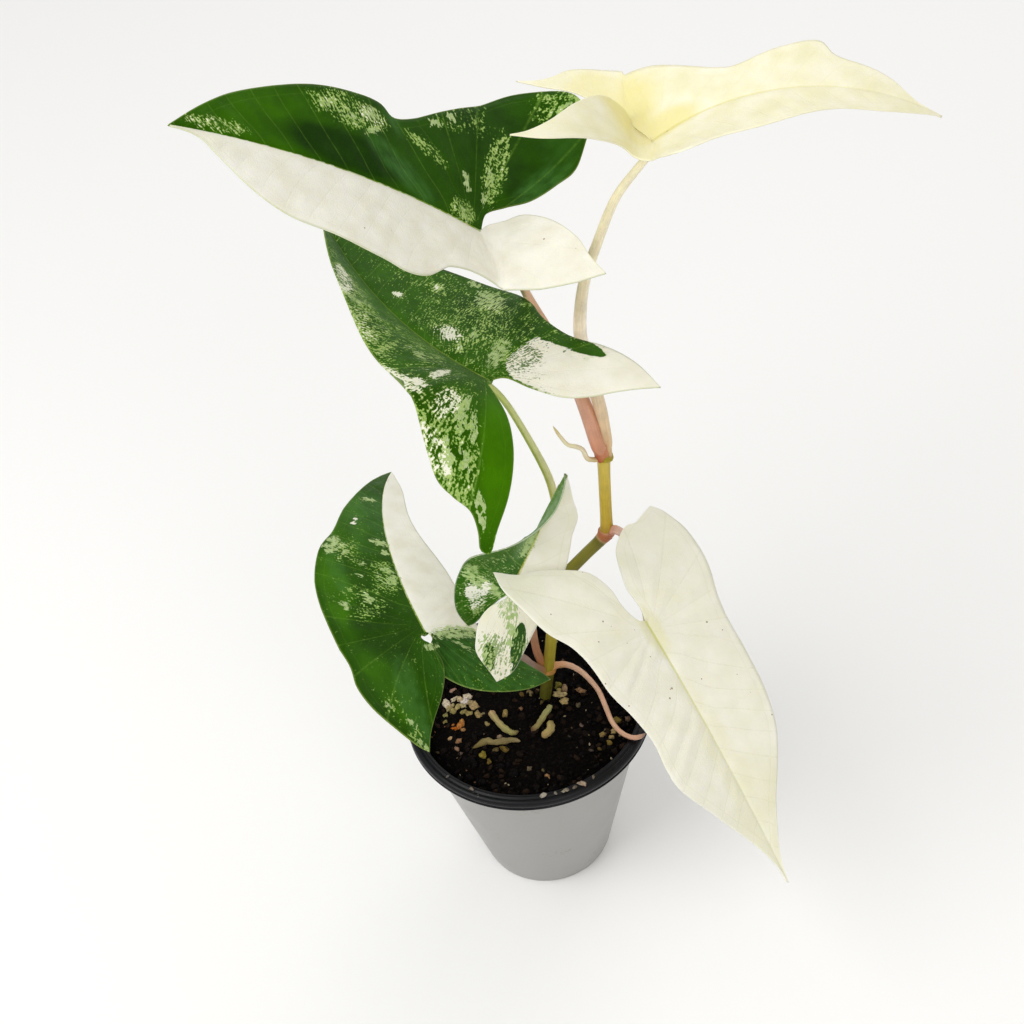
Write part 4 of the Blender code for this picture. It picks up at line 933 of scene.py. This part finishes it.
def bladeBend(leaf):
    # gives the function that takes a point of the flat outline to its place on the plant
    heading = Vector(leaf["heading"]).normalized()
    facing = Vector(leaf["facing"])
    facing = (facing - heading * facing.dot(heading)).normalized()
    turn = Matrix((heading, facing.cross(heading), facing)).transposed()
    ahead = spineFrames(leaf["length"], leaf["droop"], leaf["twist"], leaf["sweep"])
    behind = {}
    for side, sign in (("left", -1.0), ("right", 1.0)):
        half = leaf[side]
        behind[side] = spineFrames(-leaf["lobeLength"], -half["lobeDrop"],
                                   sign * half["lobeTwist"], 0.0, half.get("lobeLift", 0.0))

    def bend(side, a, b):
        half = leaf[side]
        if a >= 0.0:
            point, across, up = frameAt(ahead, a / leaf["length"])
        else:
            straight = max(a, bladeGrid["notch"])
            point, across, up = frameAt(behind[side], (straight - a) / leaf["lobeLength"])
            point = point + Vector((straight, 0.0, 0.0))
        share = min(max(a / leaf["length"], 0.0), 1.0)
        fold = math.radians(half["fold"] + (half["tipFold"] - half["fold"]) * share)
        curl = math.radians(half["curl"]) / leaf["halfWidth"]
        out = (math.sin(fold + curl * b) - math.sin(fold)) / curl
        rise = (math.cos(fold) - math.cos(fold + curl * b)) / curl
        toLeft = 1.0 if side == "left" else -1.0
        return Vector(leaf["attach"]) + turn @ (point + across * (out * toLeft) + up * rise)

    return bend, turn


def along(points, share):
    # a point at a share of the length of a smooth line through flat points
    rows = [np.array(point, float) for point in points]
    lengths = lengthsAlong(rows)
    place = share * lengths[-1]
    index = min(max(int(np.searchsorted(lengths, place)) - 1, 0), len(rows) - 2)
    t = (place - lengths[index]) / (lengths[index + 1] - lengths[index])
    start, end = rows[index], rows[index + 1]
    before = rows[index - 1] if index else 2 * start - end
    after = rows[index + 2] if index + 2 < len(rows) else 2 * end - start
    return curvePoint(before, start, end, after, t)


def halfRows(leaf, side):
    # inner and outer point of every row of a half, from the tip to the end of the lobe
    half = leaf[side]
    tip, notch = (leaf["length"], 0.0), (bladeGrid["notch"], 0.0)
    outer = [tip, *half["outer"], half["lobe"]]
    beside = max(index for index, (a, b) in enumerate(outer) if a > bladeGrid["notch"])
    joint = bladeGrid["ahead"] * bladeGrid["finer"]
    rows = []
    for inner, edge, count in (
            ([tip, notch], outer[:beside + 1], joint),
            ([notch, *half["sinus"], half["lobe"]], outer[beside:],
             bladeGrid["behind"] * bladeGrid["finer"])):
        for number in range(1 if rows else 0, count + 1):
            rows.append((along(inner, number / count), along(edge, number / count)))
    # the outline runs smoothly past the widest point, where the two runs meet
    for blend in range(bladeGrid["blendTimes"]):
        for number in range(joint - bladeGrid["blendRows"], joint + bladeGrid["blendRows"] + 1):
            before, here, after = (rows[number + step][1] for step in (-1, 0, 1))
            rows[number] = (rows[number][0], here * 0.5 + (before + after) * 0.25)
    return rows


def veinPlace(a, b):
    # which side vein a point lies at, and how far out along it
    slope = bladeSkin["veinSlope"]
    out = max(b, 0.0)
    wander = bladeSkin["veinWander"] * noise.noise(Vector((a, b, 0.0)) * 0.05)
    forward = a - slope * out + bladeSkin["veinCurve"] * out * out + wander * min(out / 6.0, 1.0)
    if forward >= 0.0:
        return forward / bladeSkin["veinSpacing"], out * math.hypot(1.0, slope)
    angle = math.degrees(math.atan2(b, a)) % 360.0
    start = math.degrees(math.atan2(1.0, slope))
    return -(angle - start) / bladeSkin["lobeVeinAngle"], math.hypot(a, b)


def patchWeight(a, b, patch):
    # 1 inside an oval patch, falling to 0 at its edge
    centreA, centreB, length, width, turn = patch[:5]
    cosine, sine = math.cos(math.radians(turn)), math.sin(math.radians(turn))
    u = ((a - centreA) * cosine + (b - centreB) * sine) / length
    v = (-(a - centreA) * sine + (b - centreB) * cosine) / width
    near = min(max((1.3 - math.hypot(u, v)) / 0.6, 0.0), 1.0)
    return near * near * (3 - 2 * near)


def paintAt(leaf, side, a, b, keys, start):
    # the value of each kind of marking at a point of the blade
    across = b if side == "left" else -b
    values = list(start)
    for channel, key in enumerate(keys):
        for patch in leaf["paint"].get(key, []):
            values[channel] += (patch[5] - values[channel]) * patchWeight(a, across, patch)
    return values


def makeBlade(name, leaf, materials):
    bend, turn = bladeBend(leaf)
    shape = bmesh.new()
    body = shape.verts.layers.deform.verify()
    paint = shape.verts.layers.float_color.new("paint")
    marks = shape.verts.layers.float_color.new("marks")
    margin = shape.verts.layers.float.new("margin")
    relief = shape.verts.layers.float.new("relief")
    flat = shape.loops.layers.uv.new("flat")
    vein = shape.loops.layers.uv.new("vein")
    facing = Vector(leaf["facing"]).normalized()
    for side, start in (("left", 0.8), ("right", 2.1)):
        rows = halfRows(leaf, side)
        last = len(rows) - 1
        made = bmesh.ops.create_grid(shape, x_segments=bladeGrid["columns"], y_segments=last, size=0.5)
        spots = {}
        for vertex in made["verts"]:
            # columns are closer together by the midrib
            part = (vertex.co.x + 0.5) ** 1.3
            row = round((vertex.co.y + 0.5) * last)
            inner, outer = rows[row]
            a, b = inner + (outer - inner) * part
            lobe = a <= bladeGrid["notch"]
            tipShare = a / leaf["length"]
            width = float(np.linalg.norm(outer - inner))
            edge = (1.0 - part) * width
            if a < bladeGrid["notch"]:
                edge = min(edge, part * width)
            swell = leaf["wave"] * part ** 2 * math.sin(math.pi * row / last)
            ripple = math.sin(1.15 * row / bladeGrid["finer"] + start)
            vertex.co = bend(side, a, b) + facing * (swell * ripple)
            index, reach = veinPlace(a, b)
            near = min(index % 1.0, 1.0 - index % 1.0)
            inside = min(max((edge - 1.0) / bladeSkin["collector"], 0.0), 1.0)
            outOfRib = 1.0 if lobe else min(max(b / 3.0, 0.0), 1.0)
            uneven = 0.5 + 0.9 * noise.noise(Vector((a, b, 3.0)) * 0.06)
            quilt = leaf["quilt"] * uneven * (1.0 - math.cos(math.tau * near)) / 2 * inside * outOfRib
            rib = 0.0 if lobe else math.exp(-(b / (0.45 + 0.9 * (1.0 - tipShare))) ** 2)
            vertex[relief] = 0.2 + quilt - 0.35 * rib * (1.0 - 0.6 * tipShare)
            thick = rib * (1.0 - 0.75 * max(tipShare, 0.0))
            fromVein = near * bladeSkin["veinSpacing"] / bladeSkin["veinWidth"]
            vertex[body][0] = min(max(thick, 0.25 * math.exp(-fromVein ** 2) * inside), 1.0)
            vertex[margin] = edge
            vertex[paint] = paintAt(leaf, side, a, b, ("pale", "flecks", "tone", "brown"),
                                    leaf["paint"][side])
            # marks: solid grey-green patches, the share of white in the flecks, and the painted sheen of
            # reflected light
            vertex[marks] = paintAt(leaf, side, a, b, ("sage", "white", "bloom"), (0.0, 0.0, 0.0, 1.0))
            spots[vertex] = ((a / 10, (b if side == "left" else -b) / 10), (index, reach / 10))
        for face in {face for vertex in made["verts"] for face in vertex.link_faces}:
            for loop in face.loops:
                loop[flat].uv, loop[vein].uv = spots[loop.vert]
    bmesh.ops.remove_doubles(shape, verts=shape.verts, dist=0.02)
    bmesh.ops.recalc_face_normals(shape, faces=shape.faces)
    middle = bend("left", leaf["length"] * 0.4, 2.0)
    nearest = min(shape.faces, key=lambda face: (face.calc_center_median() - middle).length)
    if nearest.normal.dot(turn.col[2]) < 0:
        bmesh.ops.reverse_faces(shape, faces=shape.faces)
    shape.normal_update()
    lifts = [(vertex, vertex.normal * vertex[relief]) for vertex in shape.verts]
    for vertex, lift in lifts:
        vertex.co += lift
    shape.verts.layers.float.remove(shape.verts.layers.float["relief"])
    piece = finishPiece(camelName("blade", name), shape, materials, name)
    piece.vertex_groups.new(name="body")
    wall = piece.modifiers.new("thickness", "SOLIDIFY")
    wall.thickness = bladeSkin["midrib"] * mm
    wall.offset = -1.0
    wall.vertex_group = "body"
    wall.thickness_vertex_group = bladeSkin["margin"] / bladeSkin["midrib"]
    wall.material_offset = 1


def bladeMaterial(name, look, under=False):
    # living leaf: waxy skin over green cells, or over none where the blade is white
    material, node = newMaterial(name, {
        "IOR": 1.42, "Specular IOR Level": look["sheen"],
        "Specular Tint": hexToLinear(look["sheenTint"]), "Subsurface Weight": 0.10 if under else 0.15,
        "Subsurface Scale": 0.0015, "Subsurface Radius": (0.8, 1.0, 0.35)})
    times, less, timesPlus = ({"operation": word} for word in ("MULTIPLY", "SUBTRACT", "MULTIPLY_ADD"))

    def swayed(base, cloud, amount, **settings):
        # base, made uneven by a cloud
        return node("Math", node("Math", cloud, 0.5, **less), amount, base, **timesPlus, **settings)

    def layer(base, colour, mask, strength=1.0):
        # base, with a colour over it where the mask shows it
        return node("MixRGB", node("Math", mask, strength, **times), base, colour)

    flat = node("UVMap", uv_map="flat")         # cm along and across
    vein = node("UVMap", uv_map="vein")         # vein number, cm out along it
    paint = node("Attribute", attribute_name="paint")
    margin = node("Attribute", attribute_name="margin").outputs["Fac"]
    paleShare, fleckShare, toneShare = node("SeparateColor", paint).outputs
    marks = node("SeparateColor", node("Attribute", attribute_name="marks")).outputs
    forward, across = node("SeparateXYZ", flat).outputs[:2]
    veinNumber = node("SeparateXYZ", vein).outputs["X"]

    # ragged streaks along the veins, 1 to 2 mm wide, and a finer crumble
    streaks = node("TexNoise", node("Mapping", vein, Scale=(4.5, 1.6, 1.0)), Scale=1, Detail=3)
    crumble = node("TexNoise", flat, Scale=6, Detail=4)
    field = swayed(swayed(paleShare, streaks, 0.55), crumble, 0.45)
    pale = node("ValToRGB", field, stops=[(0.47, 0), (0.53, 1)])
    inGreen = node("Math", 1.0, pale, **less)
    # flecks of the other colour: 0.6 mm wide, 3 mm long along the veins, in clumps of 6 mm
    dashes = node("TexNoise", node("Mapping", vein, Scale=(14.0, 3.4, 1.0)), Scale=1, Detail=3)
    dots = node("TexNoise", flat, Scale=13, Detail=2)
    spread = node("Math", dots, 0.45, node("Math", dashes, 0.55, **times), **timesPlus)
    spread = swayed(spread, node("TexNoise", flat, Scale=1.7, Detail=2), 0.25)
    spread = node("Math", fleckShare, 0.25, spread, **timesPlus)
    flecks = node("Math", node("ValToRGB", spread, stops=[(0.60, 0), (0.66, 1)]),
                  node("ValToRGB", fleckShare, stops=[(0.02, 0), (0.10, 1)]), **times)
    brighter = node("Math", marks["Green"], 0.12, spread, **timesPlus)
    # solid patches of grey-green with torn edges
    torn = swayed(swayed(node("Math", marks["Red"], 0.85, **times), dashes, 3.4), crumble, 2.8)
    sage = node("Math", node("ValToRGB", torn, stops=[(0.50, 0), (0.62, 1)]),
                node("ValToRGB", marks["Red"], stops=[(0.05, 0), (0.15, 1)]), **times)
    # green cells
    tone = swayed(toneShare, node("TexNoise", flat, Scale=1.3, Detail=3), 0.5, use_clamp=True)
    green = node("ValToRGB", tone, stops=[*zip((0.0, 0.5, 1.0), look["greens"])])
    # side veins: a line where the vein number is whole, and one that joins them near the edge
    veinLine = node("ValToRGB", node("Math", veinNumber, 0.5, operation="PINGPONG"),
                    stops=[(0, 1), (0.04, 0)])
    veinLine = node("Math", veinLine, node("ValToRGB", crumble, stops=[(0.35, 0.3), (0.6, 1)]), **times)
    collector = node("Math", node("Math", margin, bladeSkin["collector"], **less), operation="ABSOLUTE")
    collector = node("ValToRGB", collector, stops=[(0, 1), (0.35, 0)])
    lines = node("Math", veinLine, node("Math", collector, 0.6, **times), operation="MAXIMUM")
    green = layer(green, look["veinGreen"], lines, look["greenVeins"])
    # pale cells
    cream = node("ValToRGB", node("TexNoise", flat, Scale=1.1, Detail=4),
                 stops=[*zip((0.35, 0.5, 0.65), look["creams"])])
    cream = layer(cream, look["warmColour"], toneShare, look["warmth"])
    cream = layer(cream, look["veinCream"], lines, look["creamVeins"])
    # where both meet, a half-green haze shows through the white
    haze = node("TexNoise", node("Mapping", vein, Scale=(2.4, 1.1, 1.0)), Scale=1, Detail=2)
    between = node("Math", node("ValToRGB", field, stops=[(0.50, 1), (0.78, 0)]),
                   node("ValToRGB", haze, stops=[(0.45, 0), (0.62, 1)]), **times)
    cream = layer(cream, look["hazeColour"], between, look["haze"])
    colour = node("MixRGB", pale, green, cream)
    # painted sheen: a lighter grey-green that stands for light reflected off the waxy skin, then the
    # solid patches and the flecks, then the veins that run over them
    bloom = node("Math", marks["Blue"], node("ValToRGB", streaks, stops=[(0.35, 0.25), (0.65, 0.75)]),
                 **times)
    colour = layer(colour, look["paintedSheenColour"], bloom, inGreen)
    sageColour = node("ValToRGB", crumble, stops=[(0.35, look["sage"]), (0.75, look["sageLight"])])
    colour = layer(colour, sageColour, sage)
    fleckColour = node("ValToRGB", brighter, stops=[
        (0.62, look["dimFleck"]), (0.69, look["paleFleck"]), (0.76, look["paleFleck"]),
        (0.80, look["whiteFleck"])])
    other = node("MixRGB", pale, fleckColour, look["greenFleck"])
    colour = layer(colour, other, flecks, look["fleckStrength"])
    colour = layer(colour, look["overVein"], node("Math", veinLine, inGreen, **times),
                   node("Math", fleckShare, 0.6, look["overVeins"], **timesPlus))
    # midrib: a narrow light line that thins and fades towards the tip
    ribWidth = node("Math", forward, -look["ribTaper"], look["ribWidth"], **timesPlus)
    rib = node("Math", node("Math", across, operation="ABSOLUTE"), ribWidth, operation="LESS_THAN")
    rib = node("Math", rib, node("Math", forward, bladeGrid["notch"] / 10, operation="GREATER_THAN"),
               **times)
    rib = node("Math", rib, look["ribStrength"], **times)
    colour = layer(colour, look["ribColour"], rib,
                   node("Math", forward, -look["ribFade"], 1.0, use_clamp=True, **timesPlus))
    # brown freckles, about 0.5 mm across, in some of the 2.5 mm cells
    cells = node("TexVoronoi", flat, Scale=4)
    chance, size = node("SeparateColor", cells.outputs["Color"]).outputs[:2]
    freckle = node("Math", cells, node("Math", size, 0.09, 0.07, **timesPlus), operation="LESS_THAN")
    browned = node("Math", paint.outputs["Alpha"], 0.7, **times)
    freckle = node("Math", freckle, node("Math", chance, browned, operation="LESS_THAN"), **times)
    colour = layer(colour, "#7c5a34", freckle, 0.75)
    # a thin pale rim of older cells at the very edge
    colour = layer(colour, look["edge"], node("ValToRGB", margin, stops=[(0, 1), (0.5, 0)]), 0.35)
    if under:
        colour = node("MixRGB", 0.5, colour, node("MixRGB", pale, look["underGreen"], look["under"]))
    gloss = node("ValToRGB", node("TexNoise", flat, Scale=2.2, Detail=3),
                 stops=[(0.35, look["roughness"] - 0.05), (0.65, look["roughness"] + 0.07)])
    # pebbled skin, 0.4 mm cells, with the veins sunk into it
    pebbles = node("Math", node("TexVoronoi", flat, Scale=24), 0.35, **times)
    height = node("Math", crumble, 0.5, node("Math", lines, -0.4, pebbles, **timesPlus), **timesPlus)
    bump = node("Bump", Strength=look["bump"], Distance=0.0004, Height=height)
    return feedShader(material, {"Base Color": colour, "Roughness": gloss, "Normal": bump})


# in each look, the sheen colour is painted light: a lighter grey-green that stands for reflected light on
# the green cells
looks = {
    "leaf_cream": dict(greens=["#6f7a2a", "#98a648", "#b9c46a"], greenVeins=0.4, veinGreen="#cfd68a",
        creams=["#e6e1bd", "#ebe6c8", "#efebd4"], creamVeins=0.12, veinCream="#ddd07e", warmth=0.75,
        warmColour="#e3d787", haze=0.2, hazeColour="#d9dca0", dimFleck="#cfcf8a", paleFleck="#f6f2cc",
        whiteFleck="#faf8e4", greenFleck="#cfcf8a", fleckStrength=0.3, sage="#c3c98c",
        sageLight="#d3d8a0", paintedSheenColour="#e6e2bc", ribWidth=0.045, ribTaper=0.005, ribStrength=0.45,
        ribFade=0.09, ribColour="#d9d070", edge="#fbf6d6", under="#e6dfb4", underGreen="#b9c07a",
        overVeins=0.2, overVein="#dfd98c", roughness=0.42, sheen=0.3, sheenTint="#ffffff", bump=0.3),
    "leaf_green": dict(greens=["#143200", "#2a5400", "#457c00"], greenVeins=0.14, veinGreen="#6a9a20",
        creams=["#e4e0d0", "#e9e6d9", "#eeebe0"], creamVeins=0.07, veinCream="#cfc8a4", warmth=0.15,
        warmColour="#e6dfc0", haze=0.4, hazeColour="#a8b77c", dimFleck="#4e8410", paleFleck="#a6bd6c",
        whiteFleck="#f2f0de", greenFleck="#4a6a20", fleckStrength=0.92, sage="#9cb070",
        sageLight="#b6c692", paintedSheenColour="#467634", ribWidth=0.035, ribTaper=0.003, ribStrength=0.75,
        ribFade=0.03, ribColour="#85a032", edge="#9fb05c", under="#ddd8c4", underGreen="#6f9148",
        overVeins=0.13, overVein="#84ab48", roughness=0.4, sheen=0.11, sheenTint="#cfe6a0", bump=0.4),
    "leaf_white": dict(greens=["#183c02", "#2f6008", "#568522"], greenVeins=0.2, veinGreen="#9ab55c",
        creams=["#e8e5d3", "#ebe8d8", "#efecdf"], creamVeins=0.24, veinCream="#c9c59c", warmth=0.5,
        warmColour="#d6d190", haze=0.3, hazeColour="#b4bc88", dimFleck="#7fa04a", paleFleck="#b4c684",
        whiteFleck="#f4f2e4", greenFleck="#6f8f3c", fleckStrength=0.85, sage="#93ad66",
        sageLight="#b0c488", paintedSheenColour="#8fae78", ribWidth=0.045, ribTaper=0.004, ribStrength=0.55,
        ribFade=0.12, ribColour="#c2c23c", edge="#f4f2e2", under="#dad6bc", underGreen="#5f8540",
        overVeins=0.3, overVein="#8fae58", roughness=0.44, sheen=0.25, sheenTint="#ffffff", bump=0.35),
}
bladeSlots = {
    "leaf_top": "leaf_cream",
    "leaf_upper_left": "leaf_green",
    "leaf_marbled": "leaf_green",
    "leaf_lower_left": "leaf_green",
    "leaf_small": "leaf_white",
    "leaf_front": "leaf_white",
}

makeStem()
makeStalks()
makeRoots()
print("stem, stalks and roots made")

skins = {}
for slot, look in looks.items():
    skins[slot] = [bladeMaterial(camelName("waxy leaf ", slot), look),
                   bladeMaterial(camelName("leaf underside ", slot), look, True)]
for name, leaf in leaves.items():
    makeBlade(name, leaf, skins[bladeSlots[name]])
    print("blade made:", name)
